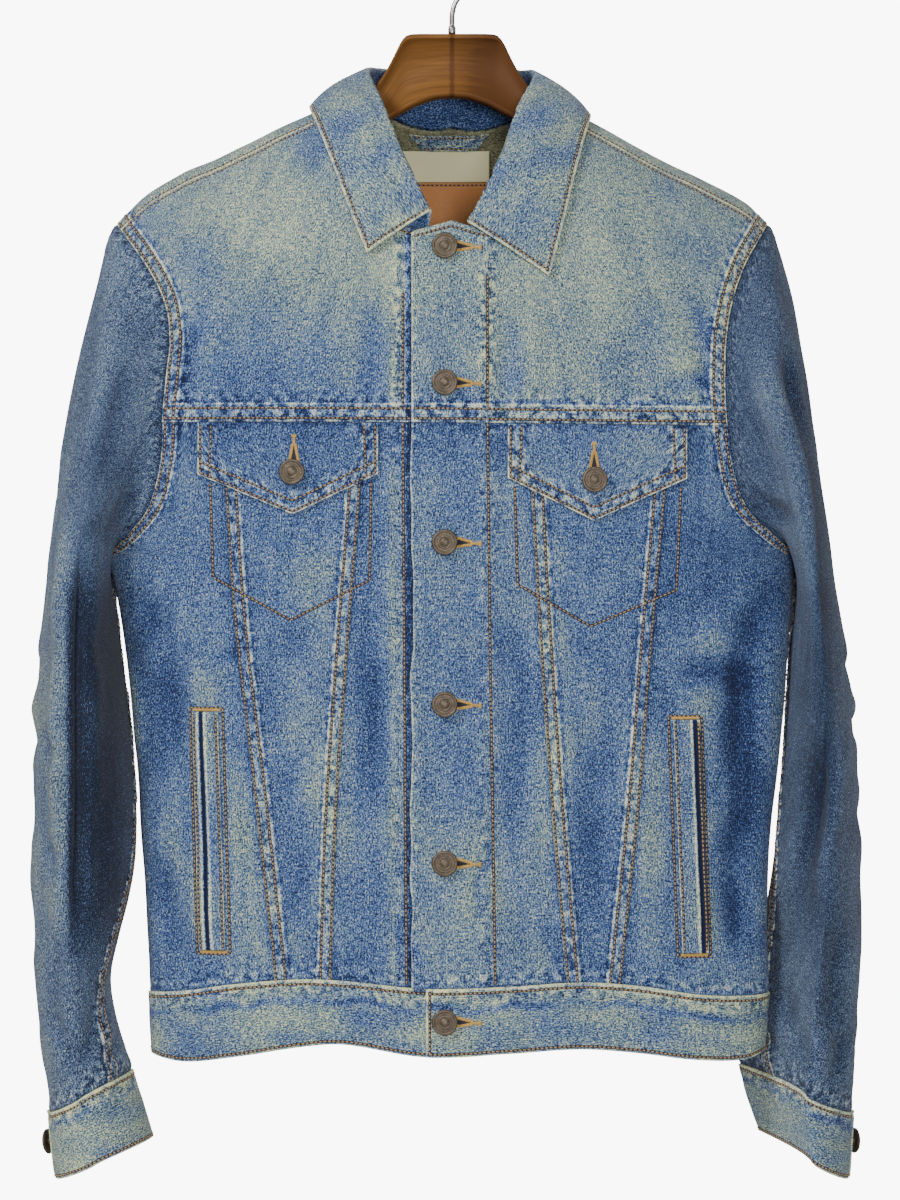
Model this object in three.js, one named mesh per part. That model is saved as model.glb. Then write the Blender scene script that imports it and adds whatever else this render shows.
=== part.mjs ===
// A denim trucker jacket on a wooden hanger, in millimetres, +Z up, front towards -Y.
// The origin is the inner top of the hanger's hook, where a rail carries it.
// "right" and "left" are the wearer's, so the right side lies at -X.
import * as THREE from 'three';

// Driving sizes
const CLOTH = 1.4;            // one layer of denim
const FACED = 2.3;            // denim with its turned-back facing, and the felled seams
const BAND_THICK = 2.4;       // waistband and cuffs, two layers
const SEAM = 0.3;             // gap between sewn pieces
const LAP = 0.4;              // clearance between pieces that lie on each other
const SECTION_POWER = 2.3;    // roundness of the body's level section
const SHOULDER_ROUND = 100;   // height over which a shoulder turns from its ridge to the full depth
const STRIP_DROP = 9.8;       // the back yoke reaches this far over the ridge to the front
const BACK_YOKE_Z = -268;
const FRONT_EDGE = { right: 20, left: -28 };   // x where each front ends
const FACING_EDGE = { right: -34, left: 24.5 };  // x of the stitch line that holds the facing
const FELL_WIDTH = 11;        // width of a felled seam
const BUTTON = { radius: 9, dome: 2.6, shank: 3.2 };
const BUTTON_X = -5;
const BUTTON_Z = [-229.7, -324.2, -434.8, -546.8, -656.7, -766.6];
const HOOK = { wire: 3.8, innerRadius: 21 };
const WOOD_TOP = -75;

// Colours of the plain model
const DENIM = { color: 0x4a6b92, roughness: 0.9, metalness: 0 };
const DENIM_DARK = { color: 0x3d5c86, roughness: 0.9, metalness: 0 };
const BRASS = { color: 0x7d6a4c, roughness: 0.45, metalness: 0.9 };
const WOOD = { color: 0x8a5a26, roughness: 0.5, metalness: 0 };
const STEEL = { color: 0x8d8a88, roughness: 0.3, metalness: 1 };
const COTTON = { color: 0xe4dcc6, roughness: 0.9, metalness: 0 };
const LEATHER = { color: 0xb5622f, roughness: 0.8, metalness: 0 };

const SIDES = [{ name: 'right', sign: -1 }, { name: 'left', sign: 1 }];

// Short tables of the garment's outline, all as distances from the centre line
const SIDE_SEAM = [
  { z: -100, right: 262, left: 262 },
  { z: -300, right: 262, left: 259 },
  { z: -443, right: 241.5, left: 241.5 },
  { z: -475, right: 234.5, left: 239 },
  { z: -530, right: 226, left: 234 },
  { z: -587, right: 221, left: 229 },
  { z: -629, right: 218.5, left: 225 },
  { z: -685, right: 214.5, left: 221.5 },
  { z: -750, right: 211.5, left: 221 },
  { z: -791, right: 210, left: 218 },
];
const RIDGE_RIGHT = [
  { x: 0, z: -98 }, { x: 40, z: -109 }, { x: 75, z: -121 }, { x: 113, z: -138.7 }, { x: 141, z: -152.7 },
  { x: 172, z: -166.7 }, { x: 202, z: -180.7 }, { x: 220, z: -193 }, { x: 236, z: -210 },
];
const RIDGE_LEFT = [
  { x: 0, z: -98 }, { x: 40, z: -111 }, { x: 75, z: -126 }, { x: 95, z: -137 }, { x: 120, z: -151 },
  { x: 148, z: -165.5 }, { x: 176, z: -179 }, { x: 206, z: -195 }, { x: 222, z: -210 },
];
const ARMHOLE = [
  { z: -210, right: 236, left: 222 },
  { z: -242, right: 213, left: 204 },
  { z: -268, right: 200, left: 195 },
  { z: -293, right: 196.5, left: 191 },
  { z: -319, right: 199, left: 190 },
  { z: -345, right: 201.5, left: 191 },
  { z: -370, right: 202.5, left: 194 },
  { z: -391, right: 206, left: 198 },
  { z: -412, right: 213, left: 207 },
  { z: -430, right: 227.5, left: 226 },
  { z: -443, right: 241.5, left: 241.5 },
];
const TIP_Z = -210;
const ARMPIT_Z = -443;
const DEPTH = [
  { z: -100, front: 56, back: 56 },
  { z: -260, front: 60, back: 58 },
  { z: -443, front: 62, back: 60 },
  { z: -600, front: 57, back: 57 },
  { z: -750, front: 51, back: 53 },
  { z: -791, front: 50, back: 52 },
];
const HEM = [
  { x: -222, top: -750, bottom: -790.5 },
  { x: -190, top: -747.5, bottom: -797 },
  { x: -150, top: -741.5, bottom: -792.5 },
  { x: -105, top: -737.5, bottom: -785 },
  { x: -75, top: -738.5, bottom: -783 },
  { x: -20, top: -743.5, bottom: -791.5 },
  { x: 40, top: -742, bottom: -789 },
  { x: 90, top: -739.5, bottom: -786.5 },
  { x: 130, top: -742.5, bottom: -789.5 },
  { x: 170, top: -749, bottom: -795 },
  { x: 205, top: -751, bottom: -796 },
  { x: 222, top: -750, bottom: -790.5 },
];
// Seams of the narrow V panels, at their outer edges
const V_SEAM = [
  { z: -340, rightIn: 60, rightOut: 161, leftIn: 52, leftOut: 153 },
  { z: -400, rightIn: 63, rightOut: 157.5, leftIn: 54.6, leftOut: 148.5 },
  { z: -490, rightIn: 70, rightOut: 151.3, leftIn: 59.5, leftOut: 140.5 },
  { z: -622, rightIn: 79, rightOut: 135.8, leftIn: 68.6, leftOut: 129.5 },
  { z: -745, rightIn: 83.5, rightOut: 122.5, leftIn: 79.5, leftOut: 117 },
];
const BACK_SEAM = [{ z: -262, x: 112 }, { z: -500, x: 88 }, { z: -750, x: 68 }];
const SLEEVE_OUTER = [
  { z: -209, right: 237, left: 223 },
  { z: -223, right: 247, left: 233 },
  { z: -237, right: 251, left: 237.5 },
  { z: -265, right: 257, left: 243.6 },
  { z: -293, right: 263, left: 249 },
  { z: -335, right: 270, left: 254 },
  { z: -377, right: 276, left: 259 },
  { z: -419, right: 282, left: 264.6 },
  { z: -461, right: 287, left: 270 },
  { z: -503, right: 290.5, left: 276 },
  { z: -545, right: 292.6, left: 281 },
  { z: -587, right: 294.5, left: 285 },
  { z: -629, right: 296, left: 288 },
  { z: -671, right: 296, left: 288.4 },
  { z: -713, right: 294.7, left: 287.5 },
  { z: -755, right: 293, left: 286.5 },
  { z: -783, right: 290, left: 285 },
  { z: -811, right: 286, left: 283 },
  { z: -836, right: 283.5, left: 281.5 },
  { z: -884, right: 278, left: 278.5 },
];
const SLEEVE_INNER = [
  { z: -443, right: 243.8, left: 243.8 },
  { z: -475, right: 238.5, left: 242.5 },
  { z: -530, right: 230.5, left: 238 },
  { z: -587, right: 225, left: 233 },
  { z: -629, right: 222.8, left: 229 },
  { z: -660, right: 223.5, left: 227 },
  { z: -685, right: 228, left: 224.5 },
  { z: -713, right: 235, left: 220 },
  { z: -741, right: 240, left: 213 },
  { z: -769, right: 236, left: 208 },
  { z: -800, right: 227, left: 204 },
  { z: -853, right: 211, left: 219 },
];
// How far behind the body's side the inner edge of each sleeve lies
const SLEEVE_TUCK = [
  { z: -443, right: 0, left: 0 },
  { z: -629, right: 0, left: 0 },
  { z: -660, right: 0, left: 6 },
  { z: -713, right: 0, left: 34 },
  { z: -760, right: 0, left: 44 },
  { z: -853, right: 0, left: 38 },
];
// Rings of a sleeve from the armhole to the cuff's hem
const SLEEVE_RINGS = [
  { k: 0, outZ: -210, inZ: -443, front: 46, back: 44 },
  { k: 1, outZ: -232, inZ: -448, front: 53, back: 50 },
  { k: 2, outZ: -265, inZ: -455, front: 60, back: 57 },
  { k: 3, outZ: -305, inZ: -465, front: 66, back: 64 },
  { k: 4, outZ: -350, inZ: -480, front: 70, back: 69 },
  { k: 5, outZ: -400, inZ: -500, front: 72, back: 73 },
  { k: 6, outZ: -455, inZ: -528, front: 73, back: 76 },
  { k: 7, outZ: -512, inZ: -562, front: 72, back: 77 },
  { k: 8, outZ: -570, inZ: -603, front: 69, back: 75 },
  { k: 9, outZ: -628, inZ: -646, front: 65, back: 70 },
  { k: 10, outZ: -684, inZ: -690, front: 60, back: 64 },
  { k: 11, outZ: -735, inZ: -731, front: 54, back: 58 },
  { k: 12, outZ: -785, inZ: -769, front: 48, back: 52 },
  { k: 13, outZ: -834.5, inZ: -805, front: 42, back: 46 },
  { k: 14, outZ: -882, inZ: -853, front: 40, back: 44 },
];
const CUFF_RING = 13;
const HEM_RING = 14;
const ARMHOLE_FADE = 6;       // rings over which the armhole's shape fades out
// Turns at which the sleeve's two seams run, at rings along its length
const SLEEVE_SEAMS = [
  { k: 0, under: 200, over: 300 },
  { k: 7, under: 185, over: 312 },
  { k: 10, under: 165, over: 324 },
  { k: 13, under: 140, over: 335 },
];
// The collar from its front end (a = 0) to the middle of the back (a = 1). Its neck seam follows the
// neckline, its outer edge lies on the body, and the fold and the belly of the leaf are free.
const COLLAR_RIGHT = [
  { a: 0, foldX: 14, foldY: -66, foldZ: -205, edgeX: 58.8, edgeZ: -234.6, belly: 2 },
  { a: 0.18, foldX: 23, foldY: -65, foldZ: -185, edgeX: 69, edgeZ: -209, belly: 3 },
  { a: 0.35, foldX: 35, foldY: -56, foldZ: -158, edgeX: 80, edgeZ: -179, belly: 5 },
  { a: 0.5, foldX: 48, foldY: -33, foldZ: -124, edgeX: 90, edgeZ: -153, belly: 5 },
  { a: 0.64, foldX: 58, foldY: 0, foldZ: -100, edgeX: 98, edgeZ: -132, belly: 6 },
  { a: 0.8, foldX: 46, foldY: 32, foldZ: -94, edgeX: 80, edgeZ: -158, belly: 7 },
  { a: 1, foldX: 0, foldY: 48, foldZ: -92, edgeX: 0, edgeZ: -166, belly: 8 },
];
const COLLAR_LEFT = [
  { a: 0, foldX: 10, foldY: -68, foldZ: -213, edgeX: 67.2, edgeZ: -250.7, belly: 2 },
  { a: 0.18, foldX: 22, foldY: -66, foldZ: -188, edgeX: 75, edgeZ: -221, belly: 3 },
  { a: 0.35, foldX: 34, foldY: -56, foldZ: -160, edgeX: 82, edgeZ: -191, belly: 5 },
  { a: 0.5, foldX: 45, foldY: -33, foldZ: -128, edgeX: 89, edgeZ: -162, belly: 5 },
  { a: 0.64, foldX: 57, foldY: 0, foldZ: -103, edgeX: 95, edgeZ: -137, belly: 6 },
  { a: 0.8, foldX: 46, foldY: 32, foldZ: -95, edgeX: 79, edgeZ: -160, belly: 7 },
  { a: 1, foldX: 0, foldY: 48, foldZ: -92, edgeX: 0, edgeZ: -166, belly: 8 },
];
const COLLAR_RIDGE = 0.64;    // where the collar passes over the shoulder
const COLLAR_THICK = 2.2;
const NECK_X = 75;            // the neck's widest point, on the ridge
const NECK_BACK_Z = -137;
const NECK_FRONT = { x: 16, z: -219 };
const FLAPS = {
  right: { inX: -51, outX: -176, corner: -387.5, pointX: -110, pointZ: -415.5, buttonZ: -386 },
  left: { inX: 38.5, outX: 162.5, corner: -390.5, pointX: 98, pointZ: -420, buttonZ: -391.4 },
};
const WELTS = {
  right: { topX: -171, topZ: -552.4, bottomX: -165.8, bottomZ: -718.3, width: 18, slit: -2.5 },
  left: { topX: 162, topZ: -558, bottomX: 168.7, bottomZ: -720.4, width: 18, slit: 5.5 },
};

// Small helpers
const clamp = (v, low = 0, high = 1) => Math.min(high, Math.max(low, v));
const mix = (a, b, t) => a + (b - a) * t;
const smooth = t => clamp(t) ** 2 * (3 - 2 * clamp(t));
const radians = degrees => degrees * Math.PI / 180;
const range = (count, from = 0, to = 1) => Array.from({ length: count + 1 }, (_, i) => mix(from, to, i / count));
const sideOf = x => (x < 0 ? 'right' : 'left');

// A smooth curve through a table's rows, held level past its ends
function curve(table, at, value) {
  const rows = [...table].sort((p, q) => p[at] - q[at]);
  const slope = rows.map((row, i) => {
    const before = rows[Math.max(0, i - 1)];
    const after = rows[Math.min(rows.length - 1, i + 1)];
    return (after[value] - before[value]) / (after[at] - before[at]);
  });
  return where => {
    const x = clamp(where, rows[0][at], rows[rows.length - 1][at]);
    let i = 0;
    while (i < rows.length - 2 && x > rows[i + 1][at]) i += 1;
    const step = rows[i + 1][at] - rows[i][at];
    const t = (x - rows[i][at]) / step;
    return rows[i][value] * (1 + 2 * t) * (1 - t) ** 2 + rows[i + 1][value] * t * t * (3 - 2 * t)
      + slope[i] * step * t * (1 - t) ** 2 + slope[i + 1] * step * t * t * (t - 1);
  };
}
const bySide = (table, at) => ({ right: curve(table, at, 'right'), left: curve(table, at, 'left') });

const halfWidth = bySide(SIDE_SEAM, 'z');
const ridgeOf = { right: curve(RIDGE_RIGHT, 'x', 'z'), left: curve(RIDGE_LEFT, 'x', 'z') };
const armhole = bySide(ARMHOLE, 'z');
const depthOf = { front: curve(DEPTH, 'z', 'front'), back: curve(DEPTH, 'z', 'back') };
const hemTop = curve(HEM, 'x', 'top');
const hemBottom = curve(HEM, 'x', 'bottom');
const vSeam = {
  right: { in: curve(V_SEAM, 'z', 'rightIn'), out: curve(V_SEAM, 'z', 'rightOut') },
  left: { in: curve(V_SEAM, 'z', 'leftIn'), out: curve(V_SEAM, 'z', 'leftOut') },
};
const backSeam = curve(BACK_SEAM, 'z', 'x');
const sleeveOuter = bySide(SLEEVE_OUTER, 'z');
const sleeveInner = bySide(SLEEVE_INNER, 'z');
const sleeveTuck = bySide(SLEEVE_TUCK, 'z');
const ring = Object.fromEntries(['outZ', 'inZ', 'front', 'back'].map(key => [key, curve(SLEEVE_RINGS, 'k', key)]));
const sleeveSeam = { under: curve(SLEEVE_SEAMS, 'k', 'under'), over: curve(SLEEVE_SEAMS, 'k', 'over') };

// The body's surface. A face is 'front' or 'back', and fall is the way down from the shoulder's ridge.
const yokeSeam = x => mix(-350.8, -353, smooth((x + 200) / 400));
const centreY = z => -9 * smooth((ARMPIT_Z - z) / 340);
const ridge = x => ridgeOf[sideOf(x)](Math.abs(x));
const dropTop = drop => Math.sqrt(1 - (1 - clamp(drop / SHOULDER_ROUND)) ** 2);
const roundness = u => Math.max(0, 1 - clamp(u) ** SECTION_POWER) ** (1 / SECTION_POWER);
function bodyY(x, z, face) {
  const u = Math.abs(x) / halfWidth[sideOf(x)](z);
  const depth = depthOf[face](z) * roundness(u) * dropTop(Math.max(0, ridge(x) - z));
  return centreY(z) + (face === 'front' ? -depth : depth);
}
const bodyPoint = (x, z, face) => new THREE.Vector3(x, bodyY(x, z, face), z);
function dropOfFall(fall) {
  const quarter = SHOULDER_ROUND * Math.PI / 2;
  const far = Math.abs(fall);
  return far < quarter ? SHOULDER_ROUND * (1 - Math.cos(far / SHOULDER_ROUND)) : SHOULDER_ROUND + far - quarter;
}
function fallOfDrop(drop) {
  if (drop < SHOULDER_ROUND) return SHOULDER_ROUND * Math.acos(1 - Math.max(0, drop) / SHOULDER_ROUND);
  return SHOULDER_ROUND * Math.PI / 2 + drop - SHOULDER_ROUND;
}
// A point from x and the signed fall: below zero on the front, above zero on the back
function fallPoint(x, fall) {
  const z = ridge(x) - dropOfFall(fall);
  return bodyPoint(x, z, fall < 0 ? 'front' : 'back');
}
// A level row from one x to another, in equal turns of the section, so that it closes well at the side
function rowX(from, to, t, z) {
  const turn = x => {
    const u = clamp(Math.abs(x) / halfWidth[sideOf(x)](z)) ** (SECTION_POWER / 2);
    return Math.sign(x) * Math.asin(clamp(u));
  };
  const angle = mix(turn(from), turn(to), t);
  const width = halfWidth[angle < 0 ? 'right' : 'left'](z);
  return Math.sign(angle) * width * Math.sin(Math.abs(angle)) ** (2 / SECTION_POWER);
}
// The front edge of each side lies over or under the other one
function frontLift(x, side) {
  if (side !== 'left') return 0;
  return (FACED + LAP) * smooth((FRONT_EDGE.right + 18 - x) / 16);
}
const sideEdge = (z, side) => (z > ARMPIT_Z ? armhole[side](z) : halfWidth[side](z));

// A closed wall of cloth on a surface. at(s, t) gives the surface, and inner and outer the two faces.
function wall({ at, columns, rows, wraps = false, inner = 0, outer = CLOTH, facing = 1, normalAt = null }) {
  const value = (v, s, t) => (typeof v === 'function' ? v(s, t) : v);
  const normal = (s, t) => {
    if (normalAt) return normalAt(s, t);
    const h = 1e-3;
    const [s0, s1] = wraps ? [s - h, s + h] : [Math.max(columns[0], s - h), Math.min(columns.at(-1), s + h)];
    const [t0, t1] = [Math.max(rows[0], t - h), Math.min(rows.at(-1), t + h)];
    const along = at(s1, t).sub(at(s0, t));
    const down = at(s, t1).sub(at(s, t0));
    return down.cross(along).normalize().multiplyScalar(facing);
  };
  const across = columns.length;
  const faces = [inner, outer].map(offset => rows.map(t => columns.map(s => at(s, t).addScaledVector(
    normal(s, t), value(offset, s, t)))));
  const points = faces.flat(2).flatMap(p => [p.x, p.y, p.z]);
  const index = (face, row, column) => (face * rows.length + row) * across + column % across;
  const triangles = [];
  const quad = (a, b, c, d) => triangles.push(a, b, c, a, c, d);
  const steps = wraps ? across : across - 1;
  for (let r = 0; r < rows.length - 1; r += 1) {
    for (let c = 0; c < steps; c += 1) {
      const next = wraps ? (c + 1) % across : c + 1;
      quad(index(1, r, c), index(1, r, next), index(1, r + 1, next), index(1, r + 1, c));
      quad(index(0, r, c), index(0, r + 1, c), index(0, r + 1, next), index(0, r, next));
    }
  }
  for (let c = 0; c < steps; c += 1) {
    const next = wraps ? (c + 1) % across : c + 1;
    const last = rows.length - 1;
    quad(index(0, 0, c), index(0, 0, next), index(1, 0, next), index(1, 0, c));
    quad(index(1, last, c), index(1, last, next), index(0, last, next), index(0, last, c));
  }
  if (!wraps) {
    for (let r = 0; r < rows.length - 1; r += 1) {
      const last = across - 1;
      quad(index(0, r + 1, 0), index(0, r, 0), index(1, r, 0), index(1, r + 1, 0));
      quad(index(0, r, last), index(0, r + 1, last), index(1, r + 1, last), index(1, r, last));
    }
  }
  return solid(points, triangles);
}
// A geometry from points and triangles, turned so that its faces point out
function solid(points, triangles) {
  const geometry = new THREE.BufferGeometry();
  geometry.setAttribute('position', new THREE.Float32BufferAttribute(points, 3));
  const corner = i => new THREE.Vector3().fromArray(points, i * 3);
  let volume = 0;
  for (let i = 0; i < triangles.length; i += 3) {
    const [a, b, c] = [corner(triangles[i]), corner(triangles[i + 1]), corner(triangles[i + 2])];
    volume += a.dot(b.cross(c));
  }
  if (volume < 0) {
    for (let i = 0; i < triangles.length; i += 3) {
      [triangles[i + 1], triangles[i + 2]] = [triangles[i + 2], triangles[i + 1]];
    }
  }
  geometry.setIndex(triangles);
  geometry.computeVertexNormals();
  return geometry;
}

const group = new THREE.Group();
function add(name, geometry, look, parent = group) {
  const mesh = new THREE.Mesh(geometry, new THREE.MeshStandardMaterial(look));
  mesh.name = name;
  parent.add(mesh);
  return mesh;
}

// A patch between four boundary curves in (x, fall)
function patch({ top, bottom, near, far }) {
  const corners = [top(0), top(1), bottom(0), bottom(1)];
  return (s, t) => {
    const blend = axis => mix(near(t)[axis], far(t)[axis], s) + mix(top(s)[axis], bottom(s)[axis], t)
      - mix(mix(corners[0][axis], corners[1][axis], s), mix(corners[2][axis], corners[3][axis], s), t);
    return fallPoint(blend(0), blend(1));
  };
}
function fallNormal(x, fall) {
  const along = fallPoint(x + 0.5, fall).sub(fallPoint(x - 0.5, fall));
  return along.cross(fallPoint(x, fall + 0.5).sub(fallPoint(x, fall - 0.5))).normalize();
}
const fallAt = (x, z) => fallOfDrop(ridge(x) - z);
const neckFrontFall = fallAt(NECK_FRONT.x, NECK_FRONT.z);
const stripFall = fallOfDrop(STRIP_DROP);
const frontStripFall = stripFall + 1.6;
// The armhole's point at a signed fall, found by closing in on it
function armholeAt(side, sign, fall) {
  let x = armhole[side](TIP_Z);
  for (let i = 0; i < 60; i += 1) {
    x = mix(x, armhole[side](ridge(sign * x) - dropOfFall(fall)), 0.5);
  }
  return [sign * x, fall];
}

// Front yokes, from the neck and shoulder down to the chest seam. The top edge runs from the front edge
// across the facing, up the neckline and out along the shoulder seam.
function frontYoke({ name, sign }) {
  const edge = FRONT_EDGE[name];
  const topCorner = armholeAt(name, sign, -frontStripFall);
  const seamX = sign * (armhole[name](-350) - SEAM / 2);
  const bottomFall = x => -fallAt(x, yokeSeam(x));
  const acrossShare = (edge - sign * NECK_FRONT.x) / (edge - seamX);
  const neckShare = (edge - sign * NECK_X) / (edge - seamX);
  const top = s => {
    if (s < acrossShare) return [mix(edge, sign * NECK_FRONT.x, s / acrossShare), -neckFrontFall];
    if (s > neckShare) return [mix(sign * NECK_X, topCorner[0], (s - neckShare) / (1 - neckShare)), -frontStripFall];
    const angle = Math.PI / 2 * (s - acrossShare) / (neckShare - acrossShare);
    const x = sign * mix(NECK_FRONT.x, NECK_X, Math.sin(angle));
    return [x, -mix(frontStripFall, neckFrontFall, Math.cos(angle))];
  };
  const at = patch({
    top,
    bottom: s => [mix(edge, seamX, s), bottomFall(mix(edge, seamX, s))],
    near: t => [edge, mix(-neckFrontFall, bottomFall(edge), t)],
    far: t => armholeAt(name, sign, mix(topCorner[1], bottomFall(seamX), t)),
  });
  const lift = (s, t) => frontLift(at(s, t).x, name);
  const faced = (s, t) => {
    const x = at(s, t).x;
    const facing = smooth((sign * (FACING_EDGE[name] - x) + 1) / 2);
    return mix(CLOTH, FACED, Math.max(facing, smooth((t - 0.945) / 0.01), smooth((s - 0.955) / 0.012)));
  };
  return wall({
    at,
    columns: [...range(3, 0, acrossShare), mix(acrossShare, neckShare, 0.08), ...range(6, acrossShare, neckShare).slice(1),
      ...range(5, neckShare, 0.945).slice(1), 0.97, 1],
    rows: [0, 0.08, 0.17, 0.27, 0.38, 0.49, 0.6, 0.71, 0.81, 0.88, 0.94, 0.96, 1],
    inner: lift,
    outer: (s, t) => lift(s, t) + faced(s, t),
    facing: sign,
  });
}

// A front or back panel below a yoke. xs(s, z) gives the panel's x along a level row.
function levelPanel({ topZ, bottomZ, xs, face, columns, rows, inner = 0, outer = CLOTH, facing }) {
  const at = (s, t) => {
    const guess = xs(s, mix(topZ(0), bottomZ(0), t));
    const z = mix(topZ(guess), bottomZ(guess), t);
    return bodyPoint(xs(s, z), z, face);
  };
  const value = v => (typeof v === 'function' ? (s, t) => v(s, t, at(s, t)) : v);
  return wall({ at, columns, rows, inner: value(inner), outer: value(outer), facing });
}
const frontTop = x => yokeSeam(x) - SEAM;
const frontBottom = x => hemTop(x) + SEAM;
const EVEN_ROWS = range(12);
const SIDE_ROWS = [0, 0.06, 0.12, 0.17, 0.21, 0.236, 0.26, 0.33, 0.42, 0.52, 0.62, 0.72, 0.82, 0.91, 1];

function frontCentre({ name, sign }) {
  const edge = FRONT_EDGE[name];
  return levelPanel({
    topZ: frontTop,
    bottomZ: frontBottom,
    xs: (s, z) => mix(edge, sign * (vSeam[name].in(z) - SEAM / 2), s),
    face: 'front',
    columns: [0, 0.1, 0.2, 0.3, 0.4, 0.5, 0.6, 0.68, 0.84, 1],
    rows: EVEN_ROWS,
    inner: (s, t, p) => frontLift(p.x, name),
    outer: (s, t, p) => frontLift(p.x, name)
      + mix(CLOTH, FACED, smooth((sign * (FACING_EDGE[name] - p.x) + 1) / 2)),
    facing: sign,
  });
}

function frontV({ name, sign }) {
  const fellEdge = (s, z) => {
    const width = vSeam[name].out(z) - vSeam[name].in(z) - SEAM;
    return FELL_WIDTH / width * (s < 0.5 ? 1 : -1);
  };
  const xs = (s, z) => {
    const fell = Math.abs(fellEdge(s, z));
    const u = s < 0.25 ? s / 0.25 * fell : s > 0.75 ? 1 - (1 - s) / 0.25 * fell : mix(fell, 1 - fell, (s - 0.25) / 0.5);
    return sign * mix(vSeam[name].in(z) + SEAM / 2, vSeam[name].out(z) - SEAM / 2, u);
  };
  return levelPanel({
    topZ: frontTop,
    bottomZ: frontBottom,
    xs,
    face: 'front',
    columns: [0, 0.24, 0.27, 0.5, 0.73, 0.76, 1],
    rows: EVEN_ROWS,
    outer: s => (s < 0.25 || s > 0.75 ? FACED : CLOTH),
    facing: sign,
  });
}

function sidePanel({ name, sign }, face) {
  const isFront = face === 'front';
  const inside = z => (isFront ? vSeam[name].out(z) + SEAM / 2 : backSeam(z) + SEAM / 2);
  return levelPanel({
    topZ: isFront ? frontTop : () => BACK_YOKE_Z - SEAM,
    bottomZ: isFront ? frontBottom : x => hemTop(Math.sign(x) * 222) + SEAM,
    xs: (s, z) => rowX(sign * inside(z), sign * (sideEdge(z, name) - (z > ARMPIT_Z ? SEAM / 2 : 0)), s * 0.995, z),
    face,
    columns: isFront ? range(6) : range(7),
    rows: isFront ? SIDE_ROWS : [0, 0.08, 0.16, 0.23, 0.29, 0.33, 0.358, 0.38, 0.44, 0.52, 0.62, 0.72, 0.82, 0.91, 1],
    facing: isFront ? sign : -sign,
  });
}

// The back yoke wraps over both shoulders and is cut out for the neck
function backYoke() {
  const neckFallBack = fallAt(0, NECK_BACK_Z);
  const shoulderShare = 0.32;
  const corner = Object.fromEntries(SIDES.map(side => [side.name, armholeAt(side.name, side.sign, -stripFall)]));
  const top = s => {
    const sign = s < 0.5 ? -1 : 1;
    const out = Math.abs(s - 0.5) / 0.5;
    const name = sideOf(sign);
    if (out > 1 - 2 * shoulderShare) {
      const along = (out - (1 - 2 * shoulderShare)) / (2 * shoulderShare);
      return [mix(sign * NECK_X, corner[name][0], along), -stripFall];
    }
    const angle = Math.PI / 2 * (1 - out / (1 - 2 * shoulderShare));
    return [sign * NECK_X * Math.cos(angle), mix(-stripFall, neckFallBack, Math.sin(angle))];
  };
  const side = ({ name, sign }) => t => {
    const bottomX = sign * (armhole[name](BACK_YOKE_Z) - SEAM / 2);
    return armholeAt(name, sign, mix(-stripFall, fallAt(bottomX, BACK_YOKE_Z), t));
  };
  const [right, left] = SIDES.map(side);
  const bottom = s => {
    const x = mix(right(1)[0], left(1)[0], s);
    return [x, fallAt(x, BACK_YOKE_Z)];
  };
  const half = [0, 0.025, 0.08, 0.14, 0.2, 0.26, 0.32, 0.345, 0.37, 0.4, 0.435, 0.47];
  return wall({
    at: patch({ top, bottom, near: right, far: left }),
    columns: [...half, 0.5, ...half.map(s => 1 - s).reverse()],
    rows: [0, 0.06, 0.13, 0.2, 0.3, 0.4, 0.5, 0.62, 0.74, 0.87, 1],
    facing: -1,
  });
}

function backCentre() {
  return levelPanel({
    topZ: () => BACK_YOKE_Z - SEAM,
    bottomZ: () => hemTop(222) + SEAM,
    xs: (s, z) => mix(-backSeam(z) + SEAM / 2, backSeam(z) - SEAM / 2, s),
    face: 'back',
    columns: range(8),
    rows: EVEN_ROWS,
    facing: -1,
  });
}

// The waistband is one strip. It starts on top at the front edge, goes round by the left side and the back,
// and ends under itself.
function waistband() {
  const angleAt = (x, z, face) => {
    const turn = Math.asin(clamp((Math.abs(x) / halfWidth[sideOf(x)](z)) ** (SECTION_POWER / 2)));
    return Math.sign(x) * (face === 'front' ? turn : Math.PI - turn);
  };
  const startTurn = angleAt(FRONT_EDGE.left + 10, -770, 'front');
  const endTurn = 2 * Math.PI + angleAt(FRONT_EDGE.right, -770, 'front');
  const at = (s, t) => {
    const turn = mix(startTurn, endTurn, s);
    const sine = Math.sin(turn);
    const face = Math.cos(turn) >= 0 ? 'front' : 'back';
    const x0 = Math.sign(sine) * Math.abs(sine) ** (2 / SECTION_POWER);
    const wide = halfWidth[sideOf(sine)](-770) * x0;
    const edge = face === 'front' ? wide : Math.sign(sine) * 222;
    const z = mix(hemTop(edge) - SEAM, hemBottom(edge), t);
    const x = halfWidth[sideOf(sine)](z) * x0;
    const cosine = Math.abs(Math.cos(turn)) ** (2 / SECTION_POWER);
    const y = centreY(z) + (face === 'front' ? -1 : 1) * depthOf[face](z) * cosine;
    return new THREE.Vector3(x, y, z);
  };
  const total = endTurn - startTurn;
  const lift = s => (BAND_THICK + LAP) * smooth((0.42 - s * total) / 0.28);
  return wall({
    at,
    columns: [...range(6, 0, 0.07), ...range(38, 0.07, 0.96).slice(1), ...range(4, 0.96, 1).slice(1)],
    rows: [0, 0.14, 0.5, 0.86, 1],
    inner: s => lift(s),
    outer: (s, t) => lift(s) + (t > 0.1 && t < 0.9 ? BAND_THICK : BAND_THICK - 0.5),
    facing: 1,
  });
}

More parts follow.
